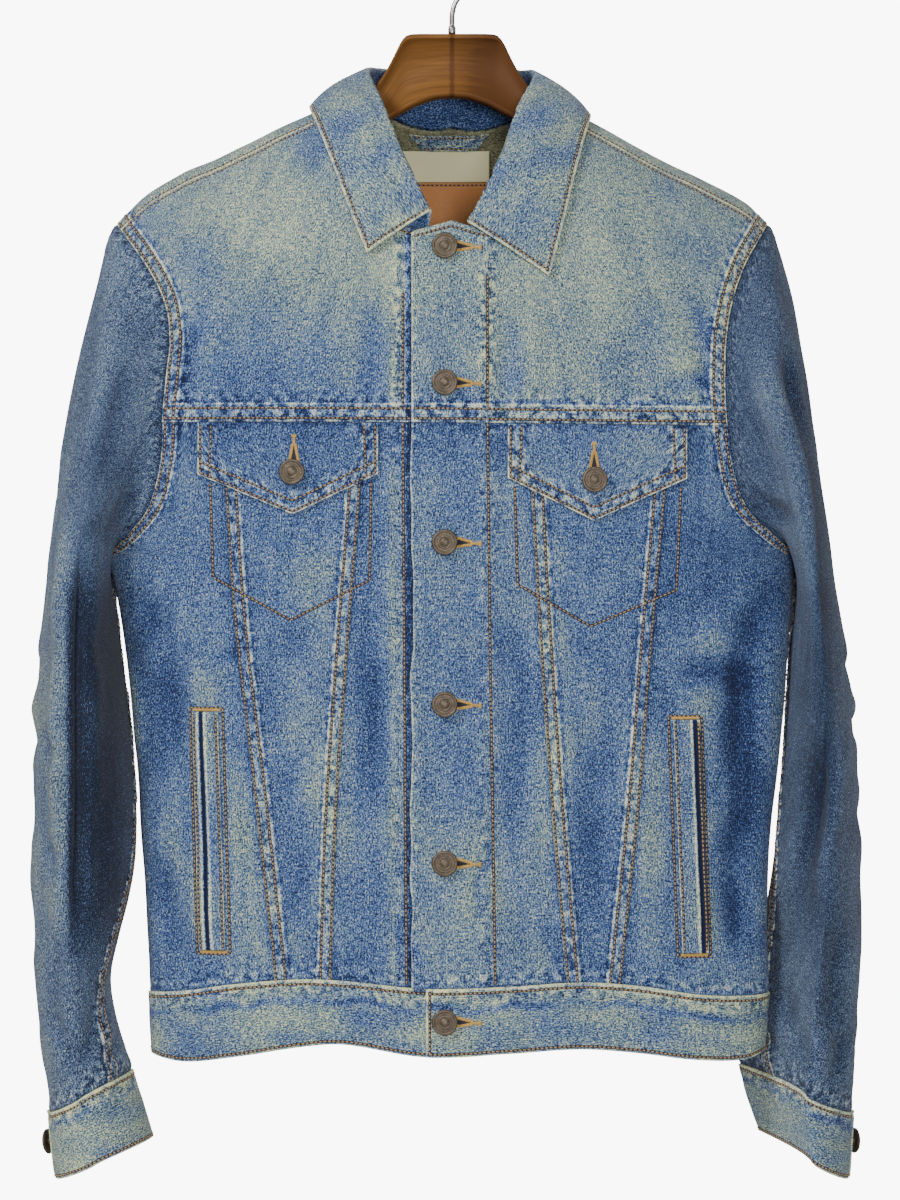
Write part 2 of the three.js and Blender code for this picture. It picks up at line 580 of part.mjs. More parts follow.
// A sleeve's surface: the armhole's loop fades into lens-like sections. turn is 0 at the outer edge,
// 90 at the front, 180 at the inner edge and 270 at the back.
function sleevePoint({ name, sign }, turn, k) {
  const angle = radians(turn);
  const toInner = (1 - Math.cos(angle)) / 2;
  const isFront = Math.sin(angle) >= 0;
  const [outZ, inZ] = [ring.outZ(k), ring.inZ(k)];
  const outX = sleeveOuter[name](outZ);
  const inX = sleeveInner[name](inZ);
  const tuck = sleeveTuck[name](inZ);
  const creaseX = mix(outX, inX, isFront ? 0.46 : 0.5);
  const deep = isFront ? -ring.front(k) : ring.back(k);
  const nearOuter = Math.cos(angle) >= 0;
  const [endX, endY] = nearOuter ? [outX, 0] : [inX, tuck];
  const soft = !nearOuter && isFront ? 1.15 + tuck / 50 : 1.15;
  const x = endX + (creaseX - endX) * (1 - Math.abs(Math.cos(angle)) ** soft);
  const y = centreY(mix(outZ, inZ, toInner)) + endY + (deep - endY) * Math.abs(Math.sin(angle)) ** soft;
  const section = new THREE.Vector3(sign * x, y, mix(outZ, inZ, toInner));
  const fade = clamp(1 - k / ARMHOLE_FADE) ** 2;
  return fade > 0 ? section.lerp(armholeLoop({ name, sign }, toInner, isFront ? 'front' : 'back'), fade) : section;
}
function armholeLoop({ name, sign }, toInner, face) {
  const clear = face === 'front' ? 1 : 1.5;
  const z = mix(TIP_Z, ARMPIT_Z, toInner);
  const x = armhole[name](z) * sign;
  const point = bodyPoint(x, z, face);
  const inward = bodyPoint(x - sign * 2, z, face);
  const lean = Math.atan2(Math.abs(point.y - inward.y), 2);
  const flat = Math.cos(lean) * (face === 'front' ? -1 : 1);
  return point.add(new THREE.Vector3(sign * (CLOTH * Math.sin(lean) + clear), CLOTH * flat * dropTop(ridge(x) - z), 0));
}

const SLEEVE_KS = [0, 0.5, 1, 2, 3, 4, 5, 6, 7, 8, 9, 10, 11, 12, 12.5, CUFF_RING - 0.01];
function sleevePiece(side, isUpper) {
  const turns = k => (isUpper ? [sleeveSeam.over(k) - 360, sleeveSeam.under(k)] : [sleeveSeam.under(k), sleeveSeam.over(k)]);
  const edge = 0.25;
  return wall({
    at: (s, k) => {
      const [from, to] = turns(k);
      return sleevePoint(side, mix(from + edge, to - edge, s), k);
    },
    columns: isUpper ? range(15) : range(9),
    rows: SLEEVE_KS,
    inner: -CLOTH,
    outer: 0,
    facing: -side.sign,
  });
}

// A cuff laps over itself at the outer back, where its button sits
const CUFF_LAP = { start: -38, end: 350 };
function cuff(side) {
  const lift = s => (BAND_THICK + LAP) * smooth((s - 0.86) / 0.1);
  return wall({
    at: (s, k) => sleevePoint(side, mix(CUFF_LAP.start, CUFF_LAP.end, s), k),
    columns: range(30),
    rows: [CUFF_RING + 0.01, CUFF_RING + 0.12, mix(CUFF_RING, HEM_RING, 0.5), HEM_RING - 0.12, HEM_RING],
    inner: s => lift(s) - CLOTH,
    outer: (s, k) => lift(s) - CLOTH + (k > CUFF_RING + 0.1 && k < HEM_RING - 0.1 ? BAND_THICK : BAND_THICK - 0.5),
    facing: -side.sign,
  });
}

// The collar is one folded piece, from the neck seam up over its fold and down to its outer edge
function collar() {
  const keys = ['foldX', 'foldY', 'foldZ', 'edgeX', 'edgeZ', 'belly'];
  const read = table => Object.fromEntries(keys.map(key => [key, curve(table, 'a', key)]));
  const rows = { right: read(COLLAR_RIGHT), left: read(COLLAR_LEFT) };
  const inset = 2;
  const backFall = fallAt(0, NECK_BACK_Z) - inset;
  const neckAt = (sign, a) => {
    const angle = Math.PI / 2 * Math.abs(1 - 2 * a);
    const wide = NECK_X - inset;
    if (a > 0.5) return fallPoint(sign * wide * Math.cos(angle), mix(-stripFall, backFall, Math.sin(angle)));
    const x = mix(NECK_FRONT.x, wide, Math.cos(angle));
    return fallPoint(sign * x, -mix(stripFall, neckFrontFall - inset, Math.sin(angle)));
  };
  const above = CLOTH + COLLAR_THICK / 2 + 2.5;
  const edgeAt = (sign, row, a) => {
    const x = sign * row.edgeX(a);
    const fall = Math.sign(a - COLLAR_RIDGE) * fallAt(x, row.edgeZ(a));
    return fallPoint(x, fall).addScaledVector(fallNormal(x, fall), above);
  };
  const at = (s, v) => {
    const sign = s < 0 ? -1 : 1;
    const row = rows[sideOf(sign)];
    const a = 1 - Math.abs(s);
    const neck = neckAt(sign, a);
    const fold = new THREE.Vector3(sign * row.foldX(a), row.foldY(a), row.foldZ(a));
    const edge = edgeAt(sign, row, a);
    const out = new THREE.Vector3(sign * 0.5, (a - COLLAR_RIDGE) * 2.4, 0.35).normalize();
    const middle = fold.clone().lerp(edge, 0.45).addScaledVector(out, row.belly(a) * 1.6);
    if (v < 0.3) {
      const t = v / 0.3;
      return neck.lerp(fold, t).addScaledVector(out, -2 * t * (1 - t));
    }
    const t = (v - 0.3) / 0.7;
    return fold.multiplyScalar((1 - t) ** 2).addScaledVector(middle, 2 * t * (1 - t)).addScaledVector(edge, t * t);
  };
  return wall({
    at,
    columns: range(34, -1, 1),
    rows: [0, 0.12, 0.22, 0.3, 0.36, 0.45, 0.6, 0.75, 0.9, 1],
    inner: -COLLAR_THICK / 2,
    outer: COLLAR_THICK / 2,
  });
}

// A pocket flap lies on the panels below the chest seam and ends in a point
const FLAP_FACES = { inner: FACED + LAP, outer: FACED + LAP + 2.2 };
function flap(side) {
  const f = FLAPS[side.name];
  const pointShare = (f.pointX - f.inX) / (f.outX - f.inX);
  const at = (s, t) => {
    const x = mix(f.inX, f.outX, s);
    const low = s < pointShare ? mix(f.corner, f.pointZ, s / pointShare)
      : mix(f.pointZ, f.corner, (s - pointShare) / (1 - pointShare));
    return bodyPoint(x, mix(yokeSeam(x) - 2 * SEAM, low, t), 'front');
  };
  return wall({
    at,
    columns: [0, 0.03, ...range(3, pointShare * 0.3, pointShare), ...range(3, pointShare, 1 - (1 - pointShare) * 0.3).slice(1), 0.97, 1],
    rows: [0, 0.3, 0.6, 0.92, 1],
    ...FLAP_FACES,
    outer: (s, t) => FLAP_FACES.outer - (t > 0.95 || s < 0.02 || s > 0.98 ? 0.5 : 0),
    facing: side.sign,
  });
}

// A welt at each hand pocket, with a groove where the hand goes in
function welt(side) {
  const w = WELTS[side.name];
  const low = CLOTH + LAP;
  const at = (s, t) => {
    const x = mix(w.topX, w.bottomX, t) + (s - 0.5) * w.width;
    return bodyPoint(x, mix(w.topZ, w.bottomZ, t), 'front');
  };
  const slitAt = w.slit / w.width + 0.5;
  const half = 0.07;
  return wall({
    at,
    columns: [0, slitAt - half - 0.02, slitAt - half, slitAt + half, slitAt + half + 0.02, 1],
    rows: [0, 0.05, 0.06, 0.35, 0.65, 0.94, 0.95, 1],
    inner: low,
    outer: (s, t) => low + (Math.abs(s - slitAt) < half + 0.01 && t > 0.055 && t < 0.945 ? 1 : 2),
    facing: 1,
  });
}

// A tack button: a domed head with a rim, on a short shank
function buttonShape() {
  const { radius, dome, shank } = BUTTON;
  const profile = [[0, 0], [3.4, 0], [3.4, shank], [radius * 0.85, shank], [radius, shank + 0.9],
    [radius * 0.88, shank + dome - 0.2], [radius * 0.6, shank + dome - 0.5], [radius * 0.4, shank + dome], [0, shank + dome]];
  return new THREE.LatheGeometry(profile.map(([r, h]) => new THREE.Vector2(r, h)), 12);
}
// Seats a button on a surface point, its axis along the outward direction
function addButton(name, point, outward, height) {
  const mesh = add(name, buttonShape(), BRASS);
  mesh.quaternion.setFromUnitVectors(new THREE.Vector3(0, 1, 0), outward);
  mesh.position.copy(point).addScaledVector(outward, height);
}
function outwardOf(at, point) {
  const along = at(1, 0).sub(at(-1, 0));
  const down = at(0, -1).sub(at(0, 1));
  const normal = along.cross(down).normalize();
  return normal.dot(new THREE.Vector3(point.x, point.y, 0)) < 0 ? normal.negate() : normal;
}

function addButtons() {
  const onFront = (x, z) => (dx, dz) => bodyPoint(x + dx, z + dz, 'front');
  BUTTON_Z.forEach((z, i) => {
    const at = onFront(BUTTON_X, z);
    const top = i === BUTTON_Z.length - 1 ? 2 * BAND_THICK + LAP : 2 * FACED + LAP;
    addButton(`front_button_${i + 1}`, at(0, 0), new THREE.Vector3(0, -1, 0), top + SEAM);
  });
  SIDES.forEach(side => {
    const f = FLAPS[side.name];
    const at = onFront(f.pointX, f.buttonZ);
    addButton(`flap_button_${side.name}`, at(0, 0), outwardOf(at, at(0, 0)), FLAP_FACES.outer + SEAM);
    const k = mix(CUFF_RING, HEM_RING, 0.5);
    const onCuff = (turn, down) => sleevePoint(side, 338 + turn, k + down * 0.02);
    const centre = onCuff(0, 0);
    const axis = sleevePoint(side, 158, k).lerp(centre, 0.5);
    const along = onCuff(1, 0).sub(onCuff(-1, 0));
    const outward = along.cross(onCuff(0, 1).sub(onCuff(0, -1))).normalize();
    if (outward.dot(centre.clone().sub(axis)) < 0) outward.negate();
    addButton(`cuff_button_${side.name}`, centre, outward, 2 * BAND_THICK + LAP - CLOTH + SEAM);
  });
}

// Labels and the hang loop lie on the inside of the back yoke
function innerStrip({ x0, x1, top, bottom, near, far, standOff = 0 }) {
  return wall({
    at: (s, t) => bodyPoint(mix(x0, x1, s), mix(top, bottom, t), 'back'),
    columns: [0, 0.1, 0.2, 0.35, 0.5, 0.65, 0.8, 0.9, 1],
    rows: [0, 0.5, 1],
    inner: s => -far - standOff * smooth((0.5 - Math.abs(s - 0.5)) / 0.2),
    outer: s => -near - standOff * smooth((0.5 - Math.abs(s - 0.5)) / 0.2),
    facing: -1,
  });
}

// The hanger's wood: a flat block at the neck that runs out into two arms under the shoulders
const WOOD_HALF = 8;
const WOOD_BLOCK = [
  { x: 0, top: WOOD_TOP, bottom: -119.5 }, { x: 12, top: WOOD_TOP, bottom: -120.5 },
  { x: 26, top: WOOD_TOP, bottom: -125.5 }, { x: 32, top: -75.6, bottom: -128.8 },
  { x: 35, top: -78, bottom: -130.5 }, { x: 38, top: -84, bottom: -132 }, { x: 42, top: -93, bottom: -134.2 },
  { x: 47, top: -102, bottom: -137 }, { x: 52, top: -109.5, bottom: -140 }, { x: 58, top: -116.5, bottom: -143.5 },
  { x: 66, top: -123, bottom: -148 }, { x: 76, top: -129, bottom: -153.5 },
];
function hangerWood() {
  const armTop = x => ridge(x) - 3.2;
  const arm = (sign, x) => ({ x, top: armTop(sign * x), bottom: armTop(sign * x) - mix(26, 19, (x - 90) / 110) });
  const stations = sign => [
    ...WOOD_BLOCK.map(row => ({ ...row, top: Math.min(row.top, row.x > 60 ? armTop(sign * row.x) : row.top) })),
    ...[92, 110, 130, 150, 170, 188, 198].map(x => arm(sign, x)),
    { ...arm(sign, 204), top: armTop(sign * 204) - 4, bottom: armTop(sign * 204) - 15 },
  ].map(row => ({ ...row, x: sign * row.x }));
  const all = [...stations(-1).reverse(), ...stations(1).slice(1)];
  const corners = [[-1, 0.86], [-0.72, 1], [0.72, 1], [1, 0.86], [1, -0.86], [0.72, -1], [-0.72, -1], [-1, -0.86]];
  const points = [];
  all.forEach(({ x, top, bottom }, i) => {
    const half = i === 0 || i === all.length - 1 ? WOOD_HALF * 0.6 : WOOD_HALF;
    const [middle, tall] = [(top + bottom) / 2, (top - bottom) / 2];
    const bevel = 1.6;
    corners.forEach(([u, v]) => {
      const height = Math.abs(v) === 1 ? tall : tall - bevel;
      const across = Math.abs(u) === 1 ? half : half - bevel;
      points.push(x, Math.sign(u) * across, middle + Math.sign(v) * height);
    });
  });
  const triangles = [];
  const n = corners.length;
  for (let i = 0; i < all.length - 1; i += 1) {
    for (let j = 0; j < n; j += 1) {
      const [a, b] = [i * n + j, i * n + (j + 1) % n];
      triangles.push(a, b, b + n, a, b + n, a + n);
    }
  }
  const last = (all.length - 1) * n;
  for (let j = 1; j < n - 1; j += 1) {
    triangles.push(0, j + 1, j, last, last + j, last + j + 1);
  }
  return solid(points, triangles);
}

// The hook: a bent wire that stands on the wood, with the rail's seat at the origin
function hangerHook() {
  const radius = HOOK.innerRadius + HOOK.wire / 2;
  const centre = -HOOK.innerRadius;
  const onCircle = degrees => new THREE.Vector3(
    radius * Math.cos(radians(degrees)), 0, centre + radius * Math.sin(radians(degrees)));
  const route = [new THREE.Vector3(0, 0, WOOD_TOP + SEAM), new THREE.Vector3(0, 0, WOOD_TOP + 8),
    new THREE.Vector3(0.3, 0, -60), new THREE.Vector3(3, 0, -51.5),
    ...[-58, -40, -20, 0, 25, 50, 75, 100, 125, 150, 175, 200].map(onCircle)];
  const wire = new THREE.Shape(range(7, 0, 0.875).map(turn => new THREE.Vector2(
    HOOK.wire / 2 * Math.cos(turn * 2 * Math.PI), HOOK.wire / 2 * Math.sin(turn * 2 * Math.PI))));
  return new THREE.ExtrudeGeometry(wire, { extrudePath: new THREE.CatmullRomCurve3(route), steps: 38 });
}

SIDES.forEach(side => {
  const { name } = side;
  add(`front_yoke_${name}`, frontYoke(side), DENIM);
  add(`front_centre_${name}`, frontCentre(side), DENIM);
  add(`front_v_${name}`, frontV(side), DENIM);
  add(`front_side_${name}`, sidePanel(side, 'front'), DENIM_DARK);
  add(`back_side_${name}`, sidePanel(side, 'back'), DENIM_DARK);
  add(`flap_${name}`, flap(side), DENIM);
  add(`welt_${name}`, welt(side), DENIM);
  add(`sleeve_upper_${name}`, sleevePiece(side, true), DENIM_DARK);
  add(`sleeve_under_${name}`, sleevePiece(side, false), DENIM);
  add(`cuff_${name}`, cuff(side), DENIM);
});
add('back_yoke', backYoke(), DENIM);
add('back_centre', backCentre(), DENIM);
add('waistband', waistband(), DENIM);
add('collar', collar(), DENIM);
add('hang_loop', innerStrip({ x0: -31, x1: 27, top: -140.5, bottom: -151.5, near: 0.9, far: 2, standOff: 2.2 }), DENIM_DARK);
add('neck_label', innerStrip({ x0: -38, x1: 27, top: -152.2, bottom: -174, near: 0.9, far: 1.8 }), COTTON);
add('neck_patch', innerStrip({ x0: -33, x1: 27, top: -174.4, bottom: -208, near: 0.9, far: 2 }), LEATHER);
addButtons();
add('hanger_wood', hangerWood(), WOOD);
add('hanger_hook', hangerHook(), STEEL);

export default group;
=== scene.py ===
import logging
import math
from dataclasses import dataclass, field, replace
from enum import Enum
from typing import Callable

import bpy
import numpy as np
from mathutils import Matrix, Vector
from mathutils.bvhtree import BVHTree


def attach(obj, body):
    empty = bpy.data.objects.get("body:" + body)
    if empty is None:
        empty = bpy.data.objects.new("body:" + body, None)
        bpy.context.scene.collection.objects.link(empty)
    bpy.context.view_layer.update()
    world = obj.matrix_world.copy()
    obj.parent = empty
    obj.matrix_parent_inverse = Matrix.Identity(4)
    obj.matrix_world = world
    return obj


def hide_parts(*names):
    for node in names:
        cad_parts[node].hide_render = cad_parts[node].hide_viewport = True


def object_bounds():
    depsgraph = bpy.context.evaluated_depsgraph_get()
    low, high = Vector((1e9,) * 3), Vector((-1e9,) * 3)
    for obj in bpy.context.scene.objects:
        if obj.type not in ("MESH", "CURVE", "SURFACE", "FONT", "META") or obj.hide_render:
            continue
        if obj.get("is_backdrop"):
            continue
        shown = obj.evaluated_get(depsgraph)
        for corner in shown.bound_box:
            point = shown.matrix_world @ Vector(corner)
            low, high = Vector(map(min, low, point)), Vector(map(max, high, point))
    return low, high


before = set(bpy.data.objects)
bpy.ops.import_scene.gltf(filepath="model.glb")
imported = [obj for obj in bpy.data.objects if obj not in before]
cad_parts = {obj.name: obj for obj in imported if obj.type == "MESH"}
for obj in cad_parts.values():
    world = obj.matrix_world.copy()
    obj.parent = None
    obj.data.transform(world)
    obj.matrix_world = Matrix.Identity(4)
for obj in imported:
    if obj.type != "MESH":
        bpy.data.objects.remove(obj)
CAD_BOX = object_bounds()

log = logging.getLogger("jacket")

Array = np.ndarray
Surface = Callable[[Array, Array], Array]
Color = tuple[float, float, float]
Socket = bpy.types.NodeSocket

MM = 0.001
CLOTH = 1.4
FACED = 2.3
BAND_THICK = 2.4
COLLAR_THICK = 2.2
FLAP_THICK = 2.2
SEAM = 0.3
LAP = 0.4
SECTION_POWER = 2.3
SHOULDER_ROUND = 100.0
STRIP_DROP = 9.8
BACK_YOKE_Z = -268.0
TIP_Z = -210.0
ARMPIT_Z = -443.0
FRONT_EDGE = {"right": 20.0, "left": -28.0}
FACING_EDGE = {"right": -34.0, "left": 24.5}
SIGN = {"right": -1.0, "left": 1.0}
BUTTON_X = -5.0
BUTTON_Z = (-229.7, -324.2, -434.8, -546.8, -656.7, -766.6)
WOOD_TOP = -75.0
NECK_X = 75.0
NECK_BACK_Z = -137.0
NECK_FRONT = (16.0, -219.0)
COLLAR_RIDGE = 0.64
COLLAR_STAND = 0.3
HEM_SIDE = 222.0
BAND_Z = -770.0
KNOTS = 512
TRACE_Y = -200.0
CUFF_RING = 13.0
HEM_RING = 14.0
CUFF_TURNS = (-38, 350)
ARMHOLE_FADE = 6.0

# Cutting tables: rows of (height, right side, left side), distances from the centre line
SIDE_SEAM = ((-100, 262, 262), (-300, 262, 259), (-443, 241.5, 241.5), (-475, 234.5, 239), (-530, 226, 234),
             (-587, 221, 229), (-629, 218.5, 225), (-685, 214.5, 221.5), (-750, 211.5, 221), (-791, 210, 218))
RIDGE_RIGHT = ((0, -98), (40, -109), (75, -121), (113, -138.7), (141, -152.7), (172, -166.7), (202, -180.7),
               (220, -193), (236, -210))
RIDGE_LEFT = ((0, -98), (40, -111), (75, -126), (95, -137), (120, -151), (148, -165.5), (176, -179),
              (206, -195), (222, -210))
ARMHOLE = ((-210, 236, 222), (-242, 213, 204), (-268, 200, 195), (-293, 196.5, 191), (-319, 199, 190),
           (-345, 201.5, 191), (-370, 202.5, 194), (-391, 206, 198), (-412, 213, 207), (-430, 227.5, 226),
           (-443, 241.5, 241.5))
DEPTH = ((-100, 56, 56), (-260, 60, 58), (-443, 62, 60), (-600, 57, 57), (-750, 51, 53), (-791, 50, 52))
HEM = ((-222, -750, -790.5), (-190, -747.5, -797), (-150, -741.5, -792.5), (-105, -737.5, -785),
       (-75, -738.5, -783), (-20, -743.5, -791.5), (40, -742, -789), (90, -739.5, -786.5),
       (130, -742.5, -789.5), (170, -749, -795), (205, -751, -796), (222, -750, -790.5))
V_SEAM_RIGHT = ((-340, 60, 161), (-400, 63, 157.5), (-490, 70, 151.3), (-622, 79, 135.8), (-745, 83.5, 122.5))
V_SEAM_LEFT = ((-340, 52, 153), (-400, 54.6, 148.5), (-490, 59.5, 140.5), (-622, 68.6, 129.5),
               (-745, 79.5, 117))
BACK_SEAM = ((-262, 112), (-500, 88), (-750, 68))
SLEEVE_OUTER = ((-209, 237, 223), (-223, 247, 233), (-237, 251, 237.5), (-265, 257, 243.6), (-293, 263, 249),
                (-335, 270, 254), (-377, 276, 259), (-419, 282, 264.6), (-461, 287, 270), (-503, 290.5, 276),
                (-545, 292.6, 281), (-587, 294.5, 285), (-629, 296, 288), (-671, 296, 288.4),
                (-713, 294.7, 287.5), (-755, 293, 286.5), (-783, 290, 285), (-811, 286, 283),
                (-836, 283.5, 281.5), (-884, 278, 278.5))
SLEEVE_INNER = ((-443, 243.8, 243.8), (-475, 238.5, 242.5), (-530, 230.5, 238), (-587, 225, 233),
                (-629, 222.8, 229), (-660, 223.5, 227), (-685, 228, 224.5), (-713, 235, 220),
                (-741, 240, 213), (-769, 236, 208), (-800, 227, 204), (-853, 211, 219))
SLEEVE_TUCK = ((-443, 0, 0), (-629, 0, 0), (-660, 0, 6), (-713, 0, 34), (-760, 0, 44), (-853, 0, 38))
# Rows of (ring, outer height, inner height, front depth, back depth)
SLEEVE_RINGS = ((0, -210, -443, 46, 44), (1, -232, -448, 53, 50), (2, -265, -455, 60, 57),
                (3, -305, -465, 66, 64), (4, -350, -480, 70, 69), (5, -400, -500, 72, 73),
                (6, -455, -528, 73, 76), (7, -512, -562, 72, 77), (8, -570, -603, 69, 75),
                (9, -628, -646, 65, 70), (10, -684, -690, 60, 64), (11, -735, -731, 54, 58),
                (12, -785, -769, 48, 52), (13, -834.5, -805, 42, 46), (14, -882, -853, 40, 44))
# Rows of (ring, turn of the front seam, turn of the back seam)
SLEEVE_SEAMS = ((0, 200, 300), (7, 185, 312), (10, 165, 324), (13, 140, 335))
# Rows of (share, fold x, fold y, fold z, edge x, edge z, belly), from the front end to the middle of the back
COLLAR_RIGHT = ((0, 14, -66, -205, 58.8, -234.6, 2), (0.18, 23, -65, -185, 69, -209, 3),
                (0.35, 35, -56, -158, 80, -179, 5), (0.5, 48, -33, -124, 90, -153, 5),
                (0.64, 58, 0, -100, 98, -132, 6), (0.8, 46, 32, -94, 80, -158, 7),
                (1, 0, 48, -92, 0, -166, 8))
COLLAR_LEFT = ((0, 10, -68, -213, 67.2, -250.7, 2), (0.18, 22, -66, -188, 75, -221, 3),
               (0.35, 34, -56, -160, 82, -191, 5), (0.5, 45, -33, -128, 89, -162, 5),
               (0.64, 57, 0, -103, 95, -137, 6), (0.8, 46, 32, -95, 79, -160, 7), (1, 0, 48, -92, 0, -166, 8))
WOOD_BLOCK = ((0, -75, -119.5), (12, -75, -120.5), (26, -75, -125.5), (32, -75.6, -128.8), (35, -78, -130.5),
              (38, -84, -132), (42, -93, -134.2), (47, -102, -137), (52, -109.5, -140), (58, -116.5, -143.5))


@dataclass(frozen=True)
class FlapCut:
    """The outline of a pocket flap: its inner and outer x, corner height, point and button height."""

    in_x: float
    out_x: float
    corner: float
    point_x: float
    point_z: float
    button_z: float


@dataclass(frozen=True)
class WeltCut:
    """The two ends of a hand pocket's welt, its width, and the offset of its opening."""

    top: tuple[float, float]
    bottom: tuple[float, float]
    width: float
    slit: float


FLAPS = {"right": FlapCut(-51, -176, -387.5, -110, -415.5, -386),
         "left": FlapCut(38.5, 162.5, -390.5, 98, -420, -391.4)}
WELTS = {"right": WeltCut((-171, -552.4), (-165.8, -718.3), 18, -2.5),
         "left": WeltCut((162, -558), (168.7, -720.4), 18, 5.5)}


# Small maths
def clamp(value: Array, low: float = 0.0, high: float = 1.0) -> Array:
    """Holds a value between two limits."""
    return np.clip(value, low, high)


def mix(a: Array, b: Array, t: Array) -> Array:
    """Goes from a to b as t goes from 0 to 1."""
    return a + (b - a) * t


def smooth(t: Array) -> Array:
    """Eases from 0 to 1."""
    t = np.clip(t, 0, 1)
    return t * t * (3 - 2 * t)


def hump(away: Array, wide: Array, power: int = 2) -> Array:
    """A soft hump that is 1 in its middle and fades out beyond its width."""
    return np.exp(-(away / wide) ** power)


def curve(rows: tuple, column: int = 1) -> Callable[[Array], Array]:
    """Makes a smooth curve through a table's rows.

    Args:
        rows: Rows that start with the position.
        column: The column to follow.

    Returns:
        A function of the position, held level past both ends.
    """
    table = np.array(sorted(rows), float)
    at, value = table[:, 0], table[:, column]
    order = np.arange(len(at))
    after, before = np.minimum(order + 1, len(at) - 1), np.maximum(order - 1, 0)
    slope = (value[after] - value[before]) / (at[after] - at[before])

    def read(where: Array) -> Array:
        """Reads the curve at a position."""
        x = np.clip(where, at[0], at[-1])
        i = np.clip(np.searchsorted(at, x) - 1, 0, len(at) - 2)
        step = at[i + 1] - at[i]
        t = (x - at[i]) / step
        return (value[i] * (1 + 2 * t) * (1 - t) ** 2 + value[i + 1] * t * t * (3 - 2 * t)
                + slope[i] * step * t * (1 - t) ** 2 + slope[i + 1] * step * t * t * (t - 1))

    return read


def by_side(rows: tuple) -> Callable[[Array, Array], Array]:
    """Makes a function of x and height that reads the right or left column by the sign of x."""
    right, left = curve(rows, 1), curve(rows, 2)
    return lambda x, z: np.where(x < 0, right(z), left(z))


def cumulative(points: Array, axis: int) -> Array:
    """Adds up the lengths between neighbours along one axis, starting at zero."""
    steps = np.linalg.norm(np.diff(points, axis=axis), axis=-1)
    start = np.zeros_like(np.take(steps, [0], axis=axis))
    return np.concatenate([start, np.cumsum(steps, axis=axis)], axis=axis)


def read_along(where: Array, reach: Array, values: Array) -> Array:
    """Reads points or directions at distances along their line."""
    return np.stack([np.interp(where, reach, values[:, axis]) for axis in range(3)], -1)


def spread(s: Array, t: Array) -> list[Array]:
    """Brings two coordinates to arrays of one shape."""
    return np.broadcast_arrays(np.asarray(s, float), np.asarray(t, float))


def unit(vectors: Array) -> Array:
    """Scales vectors to a length of one."""
    return vectors / np.maximum(np.linalg.norm(vectors, axis=-1, keepdims=True), 1e-9)


def wander(along: Array, seed: int) -> Array:
    """A smooth wandering line between -1 and 1, the same on each run.

    Args:
        along: Position, one bump in about one unit.
        seed: Which line.

    Returns:
        The line's height at each position.
    """
    knots = np.random.default_rng(seed).uniform(-1, 1, KNOTS)
    base = np.floor(along).astype(int)
    t = smooth(along - base)
    return mix(knots[base % KNOTS], knots[(base + 1) % KNOTS], t)


def drift(x: Array, z: Array, seed: int, size: float) -> Array:
    """A soft uneven field between about -1 and 1 over two coordinates, its bumps about one size across."""
    rng = np.random.default_rng(seed)
    total = np.zeros(np.broadcast(x, z).shape)
    for _ in range(7):
        angle, phase, scale = rng.uniform(0, math.tau), rng.uniform(0, math.tau), rng.uniform(0.7, 1.5)
        total += np.sin((x * math.cos(angle) + z * math.sin(angle)) * math.tau / (2 * size * scale) + phase)
    return total / 4.5


half_width = by_side(SIDE_SEAM)
armhole = by_side(ARMHOLE)
ridge_right, ridge_left = curve(RIDGE_RIGHT), curve(RIDGE_LEFT)
depth_front, depth_back = curve(DEPTH, 1), curve(DEPTH, 2)
hem_top, hem_bottom = curve(HEM, 1), curve(HEM, 2)
v_seam = {side: (curve(rows, 1), curve(rows, 2))
          for side, rows in (("right", V_SEAM_RIGHT), ("left", V_SEAM_LEFT))}
back_seam = curve(BACK_SEAM)
sleeve_outer, sleeve_inner, sleeve_tuck = by_side(SLEEVE_OUTER), by_side(SLEEVE_INNER), by_side(SLEEVE_TUCK)
ring_out, ring_in, ring_front, ring_back = (curve(SLEEVE_RINGS, column) for column in (1, 2, 3, 4))
seam_under, seam_over = curve(SLEEVE_SEAMS, 1), curve(SLEEVE_SEAMS, 2)


# The body's surface. fall is the signed way down from the shoulder's ridge: below zero on the front.
def yoke_seam(x: Array) -> Array:
    """Height of the chest seam."""
    return mix(-350.8, -353, smooth((x + 200) / 400))


def centre_y(z: Array) -> Array:
    """The body's middle plane, which leans forward towards the hem."""
    return -9 * smooth((ARMPIT_Z - z) / 340)


def ridge(x: Array) -> Array:
    """Height of the shoulder's ridge."""
    return np.where(x < 0, ridge_right(np.abs(x)), ridge_left(np.abs(x)))


def drop_top(drop: Array) -> Array:
    """How far the section has opened at a drop below the ridge."""
    return np.sqrt(1 - (1 - clamp(drop / SHOULDER_ROUND)) ** 2)


def body_point(x: Array, z: Array, back: Array) -> Array:
    """The point of the body's front or back face at x and z."""
    x, z, back = np.broadcast_arrays(np.asarray(x, float), np.asarray(z, float), back)
    across = clamp(np.abs(x) / half_width(x, z))
    roundness = np.maximum(0, 1 - across ** SECTION_POWER) ** (1 / SECTION_POWER)
    depth = np.where(back, depth_back(z), depth_front(z)) * roundness * drop_top(np.maximum(0, ridge(x) - z))
    return np.stack([x, centre_y(z) + np.where(back, depth, -depth), z], -1)


def drop_of_fall(fall: Array) -> Array:
    """Vertical drop for a way down the cloth."""
    far, quarter = np.abs(fall), SHOULDER_ROUND * math.pi / 2
    return np.where(far < quarter, SHOULDER_ROUND * (1 - np.cos(np.minimum(far, quarter) / SHOULDER_ROUND)),
                    SHOULDER_ROUND + far - quarter)


